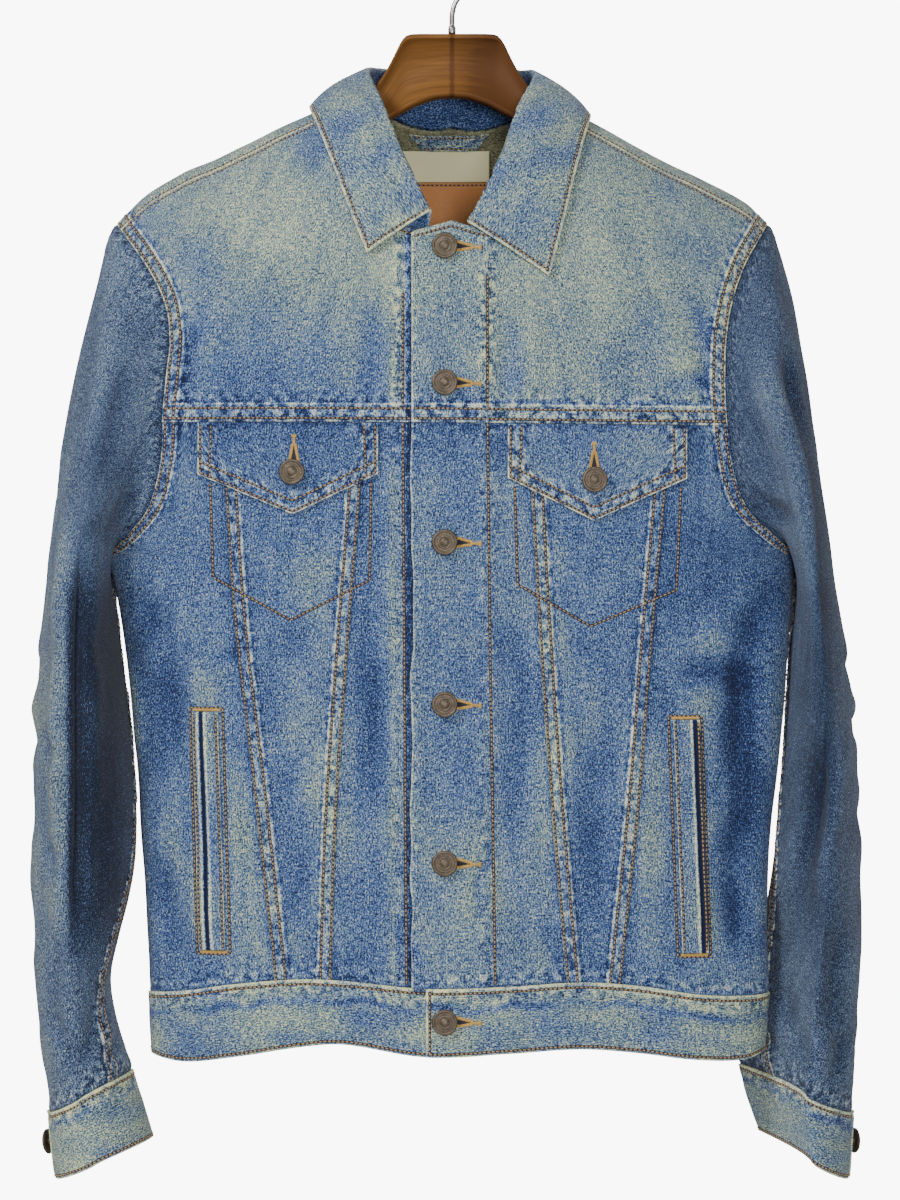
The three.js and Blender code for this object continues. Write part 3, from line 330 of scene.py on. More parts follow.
def fall_of_drop(drop: Array) -> Array:
    """Way down the cloth for a vertical drop."""
    turned = SHOULDER_ROUND * np.arccos(clamp(1 - np.maximum(0, drop) / SHOULDER_ROUND, -1, 1))
    return np.where(drop < SHOULDER_ROUND, turned, SHOULDER_ROUND * math.pi / 2 + drop - SHOULDER_ROUND)


def fall_point(x: Array, fall: Array) -> Array:
    """The body's point from x and the signed fall."""
    x, fall = spread(x, fall)
    return body_point(x, ridge(x) - drop_of_fall(fall), fall >= 0)


def fall_at(x: Array, z: Array) -> Array:
    """Way down the cloth to a height."""
    return fall_of_drop(ridge(x) - z)


def fall_normal(x: Array, fall: Array) -> Array:
    """The body's outward direction at x and fall."""
    along = fall_point(x + 0.5, fall) - fall_point(x - 0.5, fall)
    return unit(np.cross(along, fall_point(x, fall + 0.5) - fall_point(x, fall - 0.5)))


def row_x(start: Array, end: Array, t: Array, z: Array) -> Array:
    """x along a level row in equal turns of the section, so that it closes well at the side."""
    def turn(x: Array) -> Array:
        """The section's turn at x."""
        return np.sign(x) * np.arcsin(clamp(clamp(np.abs(x) / half_width(x, z)) ** (SECTION_POWER / 2)))
    angle = mix(turn(start), turn(end), t)
    return np.sign(angle) * half_width(angle, z) * np.sin(np.abs(angle)) ** (2 / SECTION_POWER)


STRIP_FALL = float(fall_of_drop(np.array(STRIP_DROP)))
FRONT_STRIP_FALL = STRIP_FALL + 1.6
NECK_FRONT_FALL = float(fall_at(NECK_FRONT[0], NECK_FRONT[1]))


def armhole_line(side: str) -> Callable[[Array], Array]:
    """Makes a function that gives the armhole's |x| at a signed fall."""
    sign = SIGN[side]
    falls = np.linspace(-420, 420, 841)
    x = np.full_like(falls, float(armhole(sign, TIP_Z)))
    for _ in range(60):
        x = mix(x, armhole(np.full_like(x, sign), ridge(sign * x) - drop_of_fall(falls)), 0.5)
    return lambda fall: np.interp(fall, falls, x)


armhole_at = {side: armhole_line(side) for side in SIGN}


# Folds of the worn cloth, laid in x and height
class Part(Enum):
    """The parts of the jacket that carry folds of their own."""

    BODY = "body"
    SLEEVE_RIGHT = "sleeve_right"
    SLEEVE_LEFT = "sleeve_left"
    NONE = "none"


@dataclass(frozen=True)
class Fold:
    """A soft trough with low ridges beside it, through points of (x, height). A depth below 0 is a ridge."""

    points: tuple[tuple[float, float], ...]
    width: float = 8.0
    depth: float = 2.0

    def height(self, x: Array, z: Array) -> Array:
        """Height that the fold adds to the cloth, below zero in its trough."""
        path = np.array(self.points, float)
        share = np.linspace(0, len(path) - 1, 6 * (len(path) - 1) + 1)
        line = np.stack([curve(tuple(enumerate(values)))(share) for values in path.T], -1)
        lengths = cumulative(line, 0)
        nearest = np.full(x.shape, 1e9)
        along = np.zeros(x.shape)
        for start, end, begin in zip(line[:-1], line[1:], lengths[:-1]):
            way = end - start
            span = max(float(np.hypot(*way)), 1e-6)
            t = clamp(((x - start[0]) * way[0] + (z - start[1]) * way[1]) / span ** 2)
            distance = np.hypot(x - start[0] - t * way[0], z - start[1] - t * way[1])
            closer = distance < nearest
            nearest = np.where(closer, distance, nearest)
            along = np.where(closer, begin + t * span, along)
        seed = int(abs(path[0, 0]) * 7 + abs(path[0, 1]) * 3)
        width = self.width * (1 + 0.22 * wander(along / 24, seed))
        taper = smooth(along / (0.3 * lengths[-1])) * smooth((lengths[-1] - along) / (0.3 * lengths[-1]))
        taper = taper * (1 + 0.3 * wander(along / 31, seed + 1))
        trough = hump(nearest, width) - 0.45 * hump(nearest - 1.9 * width, 1.1 * width)
        return -self.depth * taper * trough


@dataclass(frozen=True)
class Spot:
    """A soft patch where the cloth is paler, or darker where amount is below zero. Most are fading of the
    cloth; some on the sleeves and below the chest seam are painted light and painted shade.
    """

    x: float
    z: float
    wide: float
    tall: float
    amount: float

    def strength(self, x: Array, z: Array) -> Array:
        """The patch's strength over x and height."""
        return self.amount * np.exp(-((x - self.x) / self.wide) ** 2 - ((z - self.z) / self.tall) ** 2)


FRONT_FOLDS = {
    Part.BODY: (
        Fold(((-228, -455), (-205, -500), (-196, -560), (-200, -620)), 11, 2.6),
        Fold(((-232, -480), (-214, -540), (-212, -600)), 8, 2.0),
        Fold(((228, -455), (208, -500), (200, -560), (206, -640)), 11, 2.8),
        Fold(((150, -528), (185, -524), (222, -540)), 8, 1.6),
        Fold(((205, -600), (196, -660), (203, -735)), 10, 2.2),
        Fold(((-214, -640), (-196, -690), (-190, -735)), 10, 2.0),
        Fold(((-120, -560), (-112, -640), (-104, -720)), 13, 1.8),
        Fold(((104, -540), (100, -620), (97, -715)), 13, 1.8),
        Fold(((-60, -470), (-54, -560), (-62, -650)), 12, 1.5),
        Fold(((44, -470), (48, -560), (40, -660)), 12, 1.5),
        Fold(((-45, -690), (-30, -712), (-22, -735)), 6, 1.3),
        Fold(((28, -640), (20, -668), (22, -700)), 5, 1.1),
        Fold(((-172, -275), (-184, -305), (-186, -340)), 8, 1.6),
        Fold(((170, -262), (180, -300), (178, -340)), 8, 1.6),
        Fold(((-60, -262), (-54, -300), (-58, -340)), 9, 1.1),
        Fold(((40, -268), (44, -305), (38, -342)), 9, 1.1),
        Fold(((150, -330), (168, -322), (184, -334)), 6, 1.3),
        Fold(((-140, -500), (-150, -512), (-168, -516)), 6, 1.0),
        Fold(((60, -692), (72, -712), (78, -735)), 6, 1.2),
        Fold(((-128, -700), (-118, -722), (-104, -735)), 6, 1.2),
    ),
    Part.SLEEVE_RIGHT: (
        Fold(((-266, -350), (-270, -460), (-271, -560), (-271, -660), (-272, -760)), 7, -3.0),
        Fold(((-254, -410), (-259, -510), (-260, -620), (-261, -730)), 5.5, 4.6),
        Fold(((-222, -300), (-234, -345), (-246, -385)), 8, 2.2),
        Fold(((-215, -392), (-232, -420), (-250, -436)), 8, 2.8),
        Fold(((-250, -250), (-256, -310), (-262, -370)), 9, 1.6),
        Fold(((-288, -560), (-274, -580), (-262, -588)), 7, 1.8),
        Fold(((-290, -640), (-276, -652), (-264, -676)), 7, 1.8),
        Fold(((-284, -760), (-270, -778), (-262, -800)), 6, 2.0),
        Fold(((-246, -745), (-250, -780), (-258, -806)), 6, 2.2),
        Fold(((-226, -770), (-238, -790), (-246, -806)), 5, 2.0),
        Fold(((-270, -700), (-276, -740), (-280, -790)), 8, 1.6),
    ),
    Part.SLEEVE_LEFT: (
        Fold(((222, -262), (240, -330), (256, -400), (263, -470), (262, -540)), 8, 5.0),
        Fold(((262, -540), (256, -600), (246, -650), (238, -700)), 8, 4.4),
        Fold(((206, -292), (226, -345), (244, -400), (250, -450)), 9, -2.8),
        Fold(((200, -395), (222, -412), (244, -418)), 8, 2.4),
        Fold(((232, -236), (240, -280), (248, -330)), 8, 1.6),
        Fold(((236, -540), (242, -600), (236, -650)), 9, 2.2),
        Fold(((284, -590), (272, -610), (262, -615)), 7, 1.8),
        Fold(((270, -690), (266, -740), (262, -790)), 10, 2.4),
        Fold(((232, -740), (240, -775), (250, -808)), 7, 2.2),
        Fold(((214, -775), (228, -790), (240, -806)), 6, 2.0),
        Fold(((276, -770), (270, -790), (266, -815)), 6, 1.8),
    ),
}
BACK_FOLDS = {
    Part.BODY: (
        Fold(((-206, -330), (-170, -380), (-150, -440)), 11, 2.6),
        Fold(((204, -330), (172, -384), (148, -446)), 11, 2.6),
        Fold(((-226, -450), (-190, -500), (-170, -560)), 11, 2.6),
        Fold(((226, -452), (192, -506), (174, -570)), 11, 2.6),
        Fold(((-60, -300), (-52, -400), (-58, -500)), 14, 2.0),
        Fold(((56, -310), (60, -420), (52, -520)), 14, 2.0),
        Fold(((-6, -420), (4, -540), (-4, -660)), 15, 2.2),
        Fold(((-130, -560), (-120, -640), (-124, -720)), 11, 2.2),
        Fold(((128, -560), (122, -640), (120, -725)), 11, 2.2),
        Fold(((-48, -640), (-40, -700), (-44, -738)), 8, 1.8),
        Fold(((44, -650), (38, -700), (42, -738)), 8, 1.8),
        Fold(((-190, -640), (-180, -690), (-184, -738)), 9, 2.0),
        Fold(((188, -640), (182, -690), (180, -738)), 9, 2.0),
    ),
    Part.SLEEVE_RIGHT: (
        Fold(((-214, -300), (-240, -340), (-262, -372)), 9, 2.6),
        Fold(((-210, -380), (-236, -408), (-262, -420)), 9, 2.8),
        Fold(((-236, -470), (-252, -560), (-248, -640)), 11, 3.4),
        Fold(((-288, -540), (-268, -556), (-248, -562)), 8, 2.4),
        Fold(((-290, -590), (-270, -604), (-246, -600)), 8, 2.6),
        Fold(((-288, -640), (-268, -648), (-244, -640)), 8, 2.4),
        Fold(((-276, -720), (-266, -770), (-270, -808)), 8, 2.2),
        Fold(((-246, -735), (-250, -780), (-244, -806)), 7, 2.0),
    ),
    Part.SLEEVE_LEFT: (
        Fold(((208, -300), (232, -342), (252, -376)), 9, 2.6),
        Fold(((206, -384), (230, -410), (254, -424)), 9, 2.8),
        Fold(((238, -470), (248, -560), (244, -640)), 11, 3.4),
        Fold(((282, -548), (262, -560), (246, -558)), 8, 2.4),
        Fold(((284, -600), (264, -610), (246, -604)), 8, 2.6),
        Fold(((284, -650), (262, -656), (242, -650)), 8, 2.4),
        Fold(((270, -720), (258, -770), (262, -808)), 8, 2.2),
        Fold(((240, -735), (238, -780), (232, -804)), 7, 2.0),
    ),
}
FADE_AND_SHADE_SPOTS = {
    Part.BODY: (
        Spot(-105, -215, 95, 62, 0.24), Spot(-150, -190, 60, 40, 0.06), Spot(-40, -270, 50, 80, 0.02),
        Spot(110, -230, 90, 75, 0.24), Spot(165, -250, 40, 80, 0.08), Spot(60, -300, 60, 50, 0.1),
        Spot(-165, -325, 60, 34, -0.16), Spot(-172, -260, 14, 60, -0.12), Spot(176, -225, 12, 60, -0.08),
        Spot(-112, -600, 9, 60, 0.12), Spot(100, -600, 10, 70, 0.1), Spot(-148, -640, 7, 60, 0.12),
        Spot(-196, -650, 8, 60, 0.12), Spot(142, -640, 8, 60, 0.12), Spot(190, -640, 7, 60, 0.1),
        Spot(-60, -520, 8, 90, -0.12), Spot(58, -560, 22, 150, 0.13), Spot(20, -660, 14, 30, 0.12),
        Spot(-90, -455, 30, 12, 0.08), Spot(118, -450, 26, 14, 0.08), Spot(-10, -600, 60, 200, 0.08),
        Spot(-112, -660, 40, 110, 0.11),
        # The two level dark spots just below the chest seam are painted shade under the yoke's edge.
        Spot(-112, -365, 80, 26, -0.1), Spot(100, -365, 80, 26, -0.06), Spot(205, -560, 40, 160, -0.08),
        Spot(-205, -500, 40, 130, 0.05), Spot(196, -700, 40, 70, 0.19), Spot(-10, -720, 200, 40, 0.05),
    ),
    # The long pale spot on the outer face is painted light; the long dark spot beside the ridge is painted
    # shadow.
    Part.SLEEVE_RIGHT: (
        Spot(-240, -230, 40, 60, 0.12), Spot(-282, -560, 22, 220, 0.12), Spot(-243, -560, 18, 150, -0.26),
        Spot(-250, -800, 40, 40, 0.06),
    ),
    # The long dark spot in the valley is painted shade.
    Part.SLEEVE_LEFT: (
        Spot(240, -240, 36, 60, 0.04), Spot(284, -600, 12, 200, -0.04), Spot(254, -560, 12, 190, -0.2),
        Spot(250, -790, 40, 40, 0.08),
    ),
    Part.NONE: (),
}
# Folds on the outer side of both sleeves, over y, which is mirrored on the right sleeve, and height
SIDE_FOLDS = (
    Fold(((-30, -300), (-8, -380), (6, -450)), 10, 2.4),
    Fold(((26, -330), (18, -400), (4, -470)), 9, 2.0),
    Fold(((-38, -505), (-10, -528), (24, -520)), 9, 2.8),
    Fold(((-34, -560), (-4, -566), (30, -584)), 9, 3.0),
    Fold(((-36, -612), (-8, -628), (22, -622)), 9, 2.6),
    Fold(((-20, -660), (0, -690), (8, -735)), 9, 2.0),
    Fold(((24, -655), (20, -700), (26, -745)), 8, 2.0),
    Fold(((-26, -770), (-12, -790), (-16, -812)), 7, 1.8),
    Fold(((14, -765), (6, -790), (10, -815)), 7, 1.8),
)
FOLD_GAIN = 1.45


def relief(part: Part, points: Array, normals: Array) -> Array:
    """Height of the folds over a surface.

    Args:
        part: The part of the jacket.
        points: Points of the surface in millimetres.
        normals: Outward directions there.

    Returns:
        The height in millimetres at each point.
    """
    if part is Part.NONE:
        return np.zeros(points.shape[:-1])
    x, z = points[..., 0], points[..., 2]
    seed = len(part.value)
    total = drift(x, z, seed, 70) * 0.9 + drift(x, z, seed + 3, 28) * 0.5
    total += drift(x, z * 0.3, seed + 7, 11) * 0.25
    for folds, facing in ((FRONT_FOLDS[part], -1), (BACK_FOLDS[part], 1)):
        weight = smooth(facing * normals[..., 1] * 1.7)
        chosen = weight > 0.001
        if chosen.any():
            heights = sum(fold.height(x[chosen], z[chosen]) for fold in folds)
            total[chosen] += weight[chosen] * FOLD_GAIN * heights
    if part is not Part.BODY:
        outward = np.sign(x)
        weight = smooth((outward * normals[..., 0] - 0.3) * 1.4)
        total += weight * sum(fold.height(outward * points[..., 1], z) for fold in SIDE_FOLDS)
    return total


def faded(part: Part, points: Array) -> Array:
    """How much paler the cloth is than its panel's own tone: fading, with the spots' painted light and shade.
    """
    x, z = points[..., 0], points[..., 2]
    seed = 40 + len(part.value)
    total = 0.05 * drift(x, z, seed, 45) + 0.035 * drift(x, z, seed + 5, 17)
    for spot in FADE_AND_SHADE_SPOTS[part]:
        total += spot.strength(x, z)
    return total


# Cloth panels
@dataclass(frozen=True)
class Spacing:
    """Distances in millimetres at which a grid's lines lie: fine near both ends and even between them."""

    near: tuple[float, ...]
    far: tuple[float, ...]
    step: float

    def lay(self, lengths: Array) -> Array:
        """Lays the lines over several lengths.

        Args:
            lengths: The full length of each line.

        Returns:
            Distances from the start, one row for each length.
        """
        near, far = np.array(self.near), np.array(self.far)[::-1]
        room = near[-1] + far[0]
        count = max(2, round((float(lengths.max()) - room) / self.step))
        fit = np.minimum(1, lengths / (room + 2))[:, None]
        first, last = near[None] * fit, lengths[:, None] - far[None] * fit
        between = mix(first[:, -1:], last[:, :1], np.linspace(0, 1, count + 1)[1:-1])
        return np.concatenate([first, between, last], 1)


def lay_grid(at: Surface, columns: Spacing, rows: Spacing) -> tuple[Array, Array]:
    """Finds the s and t of a grid whose lines lie at true distances on a surface.

    Args:
        at: The surface over s and t, both from 0 to 1.
        columns: Distances across.
        rows: Distances down.

    Returns:
        The grid's s and t, each as rows by columns.
    """
    dense = np.linspace(0, 1, 161)
    s, t = np.meshgrid(dense, dense)
    down = cumulative(at(s, t), 0)
    want = rows.lay(down[-1])
    t_rows = np.stack([np.interp(want[m], down[:, m], dense) for m in range(dense.size)], 1)
    along = cumulative(at(np.broadcast_to(dense, t_rows.shape), t_rows), 1)
    cuts = columns.lay(along[:, -1])
    s_grid = np.stack([np.interp(cut, length, dense) for cut, length in zip(cuts, along)])
    t_grid = np.stack([np.interp(line, dense, t_row) for line, t_row in zip(s_grid, t_rows)])
    return s_grid, t_grid


class Side(Enum):
    """The four edges of a panel's grid."""

    NEAR = "near"
    FAR = "far"
    TOP = "top"
    BOTTOM = "bottom"

    @property
    def level(self) -> bool:
        """Whether the edge runs along the grid's rows."""
        return self in (Side.TOP, Side.BOTTOM)

    @property
    def first(self) -> bool:
        """Whether the grid starts at the edge."""
        return self in (Side.TOP, Side.NEAR)

    @property
    def measure(self) -> str:
        """Name of the panel's distances from this edge."""
        return f"from_{self.value}"

    @property
    def opposite(self) -> "Side":
        """The edge on the panel's other side."""
        return {Side.NEAR: Side.FAR, Side.FAR: Side.NEAR, Side.TOP: Side.BOTTOM, Side.BOTTOM: Side.TOP}[self]


@dataclass(frozen=True)
class EdgeWork:
    """How one edge of a panel is sewn and worn, and how much painted shade lies beside it."""

    lines: tuple[float, ...] = ()
    band: float = 0.0
    rise: float = 0.0
    pucker: float = 0.0
    reach: float = 17.0
    pitch: float = 8.0
    lean: float = 0.7
    pale: float = 0.5
    wide: float = 0.95
    # dark: strength of the painted shade laid on the cloth just beside the edge.
    dark: float = 0.0
    calm: float = 0.0
    tuck: tuple[float, float] = (0.0, 0.0)
    span: tuple[float, float] | None = None

    def distances(self) -> tuple[float, ...]:
        """Where the grid's lines lie beside this edge: finest at its worn folds."""
        marks = [0, 0.4, 0.9, 1.7, 3.0]
        if self.band:
            marks += [self.band + step for step in (-1.5, -0.7, -0.2, 0.2, 0.7, 1.6, 3.2)]
        marks = sorted(mark for mark in set(marks) if mark >= 0)
        filled = [marks[0]]
        for mark in marks[1:]:
            parts = math.ceil((mark - filled[-1]) / 1.9)
            start = filled[-1]
            filled += [start + (mark - start) * (i + 1) / parts for i in range(parts)]
        return tuple(filled)

    def mask(self, z: Array) -> Array:
        """Where along the edge, by height, this work applies."""
        if self.span is None:
            return np.ones_like(z)
        low, high = self.span
        return smooth((z - low) / 6 + 0.5) * smooth((high - z) / 6 + 0.5)


@dataclass
class ClothPanel:
    """One piece of cloth: a closed thin shell on the form of its solid, with its seams, puckers and folds."""

    node: str
    at: Surface
    facing: int
    part: Part = Part.NONE
    edges: dict[Side, EdgeWork] = field(default_factory=dict)
    steps: tuple[float, float] = (2.8, 2.8)
    thick: float = CLOTH
    base: float = 0.0
    lift: Callable[[Array, Array, Array], Array] | None = None
    extra: Callable[[Array, Array, Array], Array] | None = None
    tone: float = 0.35
    tint: Callable[[Array], Array] | None = None
    ropes: Callable[[Array], Array] | None = None
    warp_down: bool = True
    roll: float = 0.9
    both: float = 0.6
    slot: str = "denim"
    rests_on: tuple[str, ...] = ()
    held: str = "hung"

    def __post_init__(self) -> None:
        """Lays the grid and works out the two faces."""
        beside = {side: self.edges.get(side, EdgeWork()).distances() for side in Side}
        self.s, self.t = lay_grid(self.at, Spacing(beside[Side.NEAR], beside[Side.FAR], self.steps[0]),
                                  Spacing(beside[Side.TOP], beside[Side.BOTTOM], self.steps[1]))
        points = self.at(self.s, self.t)
        self.from_near, self.from_top = cumulative(points, 1), cumulative(points, 0)
        self.from_far = self.from_near[:, -1:] - self.from_near
        self.from_bottom = self.from_top[-1:] - self.from_top
        normals = self._directions(points)
        folds = relief(self.part, points, normals)
        for side, work in self.edges.items():
            if work.calm:
                folds = folds * mix(1, smooth(self._reach(side)[0] / work.calm), work.mask(points[..., 2]))
        puckers, rise, painted_shade = self._edge_work(points[..., 2])
        height = rise + (self.extra(self.s, self.t, points) if self.extra else 0)
        lift = self.base + folds + (self.lift(self.s, self.t, points) if self.lift else 0)
        edge = np.minimum.reduce([self.from_near, self.from_far, self.from_top, self.from_bottom])
        round_off = 0.3 + 0.7 * np.sqrt(1 - (1 - clamp(edge / self.roll)) ** 2)
        total = self.thick + height
        middle = lift + total / 2
        self.outer = points + normals * (middle + total / 2 * round_off + puckers)[..., None]
        self.inner = points + normals * (middle - total / 2 * round_off + puckers * self.both)[..., None]
        # Tone follows the fold heights: raised folds are paler as worn cloth, and troughs are darker with
        # painted shade. The painted shade of the edges is taken off last.
        stain = 0.1 - 0.05 * smooth(normals[..., 1] * 2) if self.part is Part.BODY else 0.05
        self.fade = self.tone + faded(self.part, points) + stain * np.clip(folds, -4, 2.5) - painted_shade
        if self.tint:
            self.fade = self.fade + self.tint(points)
        if self.ropes:
            self.wear = clamp(self.wear + self.ropes(points))
        self.normals = self._directions(self.outer)
        for side, work in self.edges.items():
            if any(work.tuck):
                self._tuck(side, work)

    def _directions(self, points: Array) -> Array:
        """Outward directions over a grid of points."""
        return self.facing * unit(np.cross(np.gradient(points, axis=0), np.gradient(points, axis=1)))

    def _tuck(self, side: Side, work: EdgeWork) -> None:
        """Runs an edge on below the cloth next to it, outside the work's span where it has one."""
        axis, shares = 0 if side.level else 1, (0.25, 0.6, 1.0)
        reach, drop = work.tuck

        def at(values: Array, place: int) -> Array:
            """One line of the grid, counted in from the edge."""
            return np.take(values, [place if side.first else -1 - place], axis=axis)

        def grow(values: Array, added: list[Array]) -> Array:
            """Sets new lines before or after the others."""
            return np.concatenate([*added[::-1], values] if side.first else [values, *added], axis)
        middle, normal = (self.outer + self.inner) / 2, at(self.normals, 1)
        edge, way = at(middle, 0), unit(at(middle, 0) - at(middle, 4))
        share = (1 - work.mask(edge[..., 2]))[..., None] if work.span else np.ones_like(edge[..., :1])
        centres = [edge + share * (way * reach * part - normal * drop * smooth(part * 1.25))
                   for part in shares]
        half = normal * self.thick * 0.42
        self.outer = grow(self.outer, [centre + half for centre in centres])
        self.inner = grow(self.inner, [centre - half for centre in centres])
        turns = {side.measure: -reach, side.opposite.measure: reach}
        for name in ("s", "t", "fade", "wear", "worn_edge", "normals", *(edge.measure for edge in Side)):
            values, turn = getattr(self, name), turns.get(name, 0.0)
            setattr(self, name, grow(values, [at(values, 0) + turn * part for part in shares]))

    def _reach(self, side: Side) -> tuple[Array, Array]:
        """Distance from an edge and position along it."""
        return getattr(self, side.measure), self.from_near if side.level else self.from_top

    def _edge_work(self, z: Array) -> tuple[Array, Array, Array]:
        """Adds up the sewing of all edges: puckers, raised bands and the painted shade beside seams and
        bands, and keeps the wear.
        """
        puckers, rise, painted_shade = np.zeros_like(z), np.zeros_like(z), np.zeros_like(z)
        self.wear, self.worn_edge = np.zeros_like(z), np.zeros_like(z)
        for order, (side, work) in enumerate(self.edges.items()):
            away, along = self._reach(side)
            mask = work.mask(z)
            seed = sum(map(ord, self.node)) + 31 * order
            waves = wander((along + work.lean * away) / work.pitch, seed)
            waves = 0.75 * waves + 0.35 * wander((along - 0.5 * away) / (0.5 * work.pitch), seed + 1)
            far = smooth(1 - (away - work.band) / work.reach) * smooth(away / 2.5)
            strength = np.where(away < work.band, 1, far) * mask
            puckers += work.pucker * waves * strength
            if work.rise:
                rise = np.maximum(rise, work.rise * smooth((work.band + 0.35 - away) / 0.7) * mask)
            for line in work.lines:
                puckers -= 0.35 * hump(away - line, 0.8) * mask
            inside = smooth((work.band + 0.6 - away) / 0.8) if work.band else np.zeros_like(away)
            self.wear += mask * work.pucker * (1.6 * inside + 1.15 * far ** 1.5 * (1 - inside))
            self.worn_edge += mask * work.pale * hump(away, work.wide, 4) * (0.85 + 0.4 * waves)
            if work.band:
                fold = hump(away - work.band, 0.62) * (0.85 + 0.4 * waves)
                self.worn_edge += mask * fold * (0.95 if work.rise else 0.35)
            # Painted shadow in a thin line just beyond a raised band's edge.
            if work.rise:
                painted_shade += mask * 0.3 * hump(away - work.band - 1.8, 1.1)
            # Painted shade on the cloth just beside the edge.
            painted_shade += mask * work.dark * hump(away, 3.4)
        self.wear, self.worn_edge = clamp(self.wear, 0, 1), clamp(self.worn_edge, 0, 1.1)
        return puckers, rise, painted_shade

    def line(self, side: Side, distance: float, trim: float = 2.0) -> list[tuple[Array, Array]]:
        """Finds the line at a distance from one edge, on the outer face.

        Args:
            side: The edge.
            distance: How far in the line lies.
            trim: Length left off at both ends.

        Returns:
            Runs of points with their outward directions.
        """
        away, outer, normals = self._reach(side)[0], self.outer, self.normals
        if side.level:
            away, outer, normals = away.T, outer.swapaxes(0, 1), normals.swapaxes(0, 1)
        if not side.first:
            away, outer, normals = away[:, ::-1], outer[:, ::-1], normals[:, ::-1]
        points, directions = (np.array([read_along(distance, *pair) for pair in zip(away, values)])
                              for values in (outer, normals))
        directions, reach = unit(directions), cumulative(points, 0)
        keep = (reach > trim) & (reach < reach[-1] - trim)
        work = self.edges.get(side)
        if work and work.span:
            keep &= (points[:, 2] > work.span[0]) & (points[:, 2] < work.span[1])
        return [(points[keep], directions[keep])] if keep.sum() > 3 else []

    def sewn_lines(self) -> list[tuple[Array, Array]]:
        """All topstitching along this panel's edges."""
        return [run for side, work in self.edges.items() for distance in work.lines
                for run in self.line(side, distance)]

    def shell(self, right_side: bpy.types.Material, wrong_side: bpy.types.Material) -> bpy.types.Object:
        """Builds the closed shell.

        Args:
            right_side: Material of the outer face.
            wrong_side: Material of the inner face.

        Returns:
            The panel's object.
        """
        index = numbered(*self.s.shape)
        kept = np.ix_(*(np.unique([*range(0, size, 2), size - 1]) for size in index.shape))
        partner = np.full(index.shape, -1)
        partner[kept] = index.size + np.arange(index[kept].size).reshape(index[kept].shape)
        outer, inner = grid_faces(index), grid_faces(partner[kept])[:, ::-1]
        loop, mate = edge_loop(index), edge_loop(partner)
        stops = np.flatnonzero(mate >= 0)
        rim = [[*loop[a:b + 1], mate[b], mate[a]] for a, b in zip(stops[:-1], stops[1:])]
        faces = outer.tolist() + inner.tolist() + rim
        if self.facing < 0:
            faces = [face[::-1] for face in faces]
        slots = np.repeat([0, 1, 0], [len(outer), len(inner), len(rim)]).astype(np.int32)
        chosen = np.concatenate([index.reshape(-1), index[kept].reshape(-1)])
        points = np.concatenate([self.outer.reshape(-1, 3), self.inner[kept].reshape(-1, 3)]) * MM
        way = np.sign(self.at(0.9, 0.5)[..., 0] - self.at(0.1, 0.5)[..., 0])
        across = self.from_near + way * self._start()
        grain = (across, self.from_bottom) if self.warp_down else (self.from_bottom, across)
        offset = (sum(map(ord, self.node)) % 17) * 0.37
        cloth = np.stack(grain, -1).reshape(-1, 2) * MM + offset
        values = {name: np.broadcast_to(value, index.shape).reshape(-1)[chosen]
                  for name, value in (("fade", self.fade), ("wear", self.wear), ("edge", self.worn_edge))}
        materials = (right_side, wrong_side)
        return make_mesh(f"cloth_{self.node}", points, faces, materials, slots, cloth[chosen], values)

    def _start(self) -> Array:
        """Where each row starts across the cloth's grain."""
        if self.part is Part.BODY:
            return self.outer[:, :1, 0]
        return -self.from_near[:, -1:] / 2

    def flat_size(self) -> tuple[tuple[float, float], float]:
        """The cut of the cloth before it was sewn: its width and length, and its area, in metres."""
        surface = (self.outer + self.inner) / 2
        across, down = surface[:, 1:] - surface[:, :-1], surface[1:] - surface[:-1]
        area = np.linalg.norm(np.cross(across[:-1], down[:, :-1]), axis=-1).sum()
        size = (float(self.from_near[:, -1].max()) * MM, float(self.from_top[-1].max()) * MM)
        return size, min(float(area) * MM * MM, 0.999 * size[0] * size[1])


def numbered(rows: int, columns: int, start: int = 0) -> Array:
    """Numbers the corners of a grid."""
    return start + np.arange(rows * columns).reshape(rows, columns)


def grid_faces(index: Array) -> Array:
    """Four-sided faces over a grid of corner numbers."""
    return np.stack([index[1:, :-1], index[1:, 1:], index[:-1, 1:], index[:-1, :-1]], -1).reshape(-1, 4)


def tube_faces(index: Array, turned: bool = False) -> list[list[int]]:
    """Faces of a tube whose rings are the rows of a grid, with its two caps, in either winding."""
    after = np.roll(index, -1, axis=1)
    around, caps = [index[:-1], index[1:], after[1:], after[:-1]], [index[0], index[-1][::-1]]
    if turned:
        around, caps = [around[0], *around[:0:-1]], [cap[::-1] for cap in caps]
    return np.stack(around, -1).reshape(-1, 4).tolist() + [cap.tolist() for cap in caps]


def edge_loop(index: Array) -> Array:
    """The corner numbers round a grid's edge, ending where they start."""
    return np.concatenate([index[0, :-1], index[:-1, -1], index[-1, :0:-1], index[:0:-1, 0], index[:1, 0]])


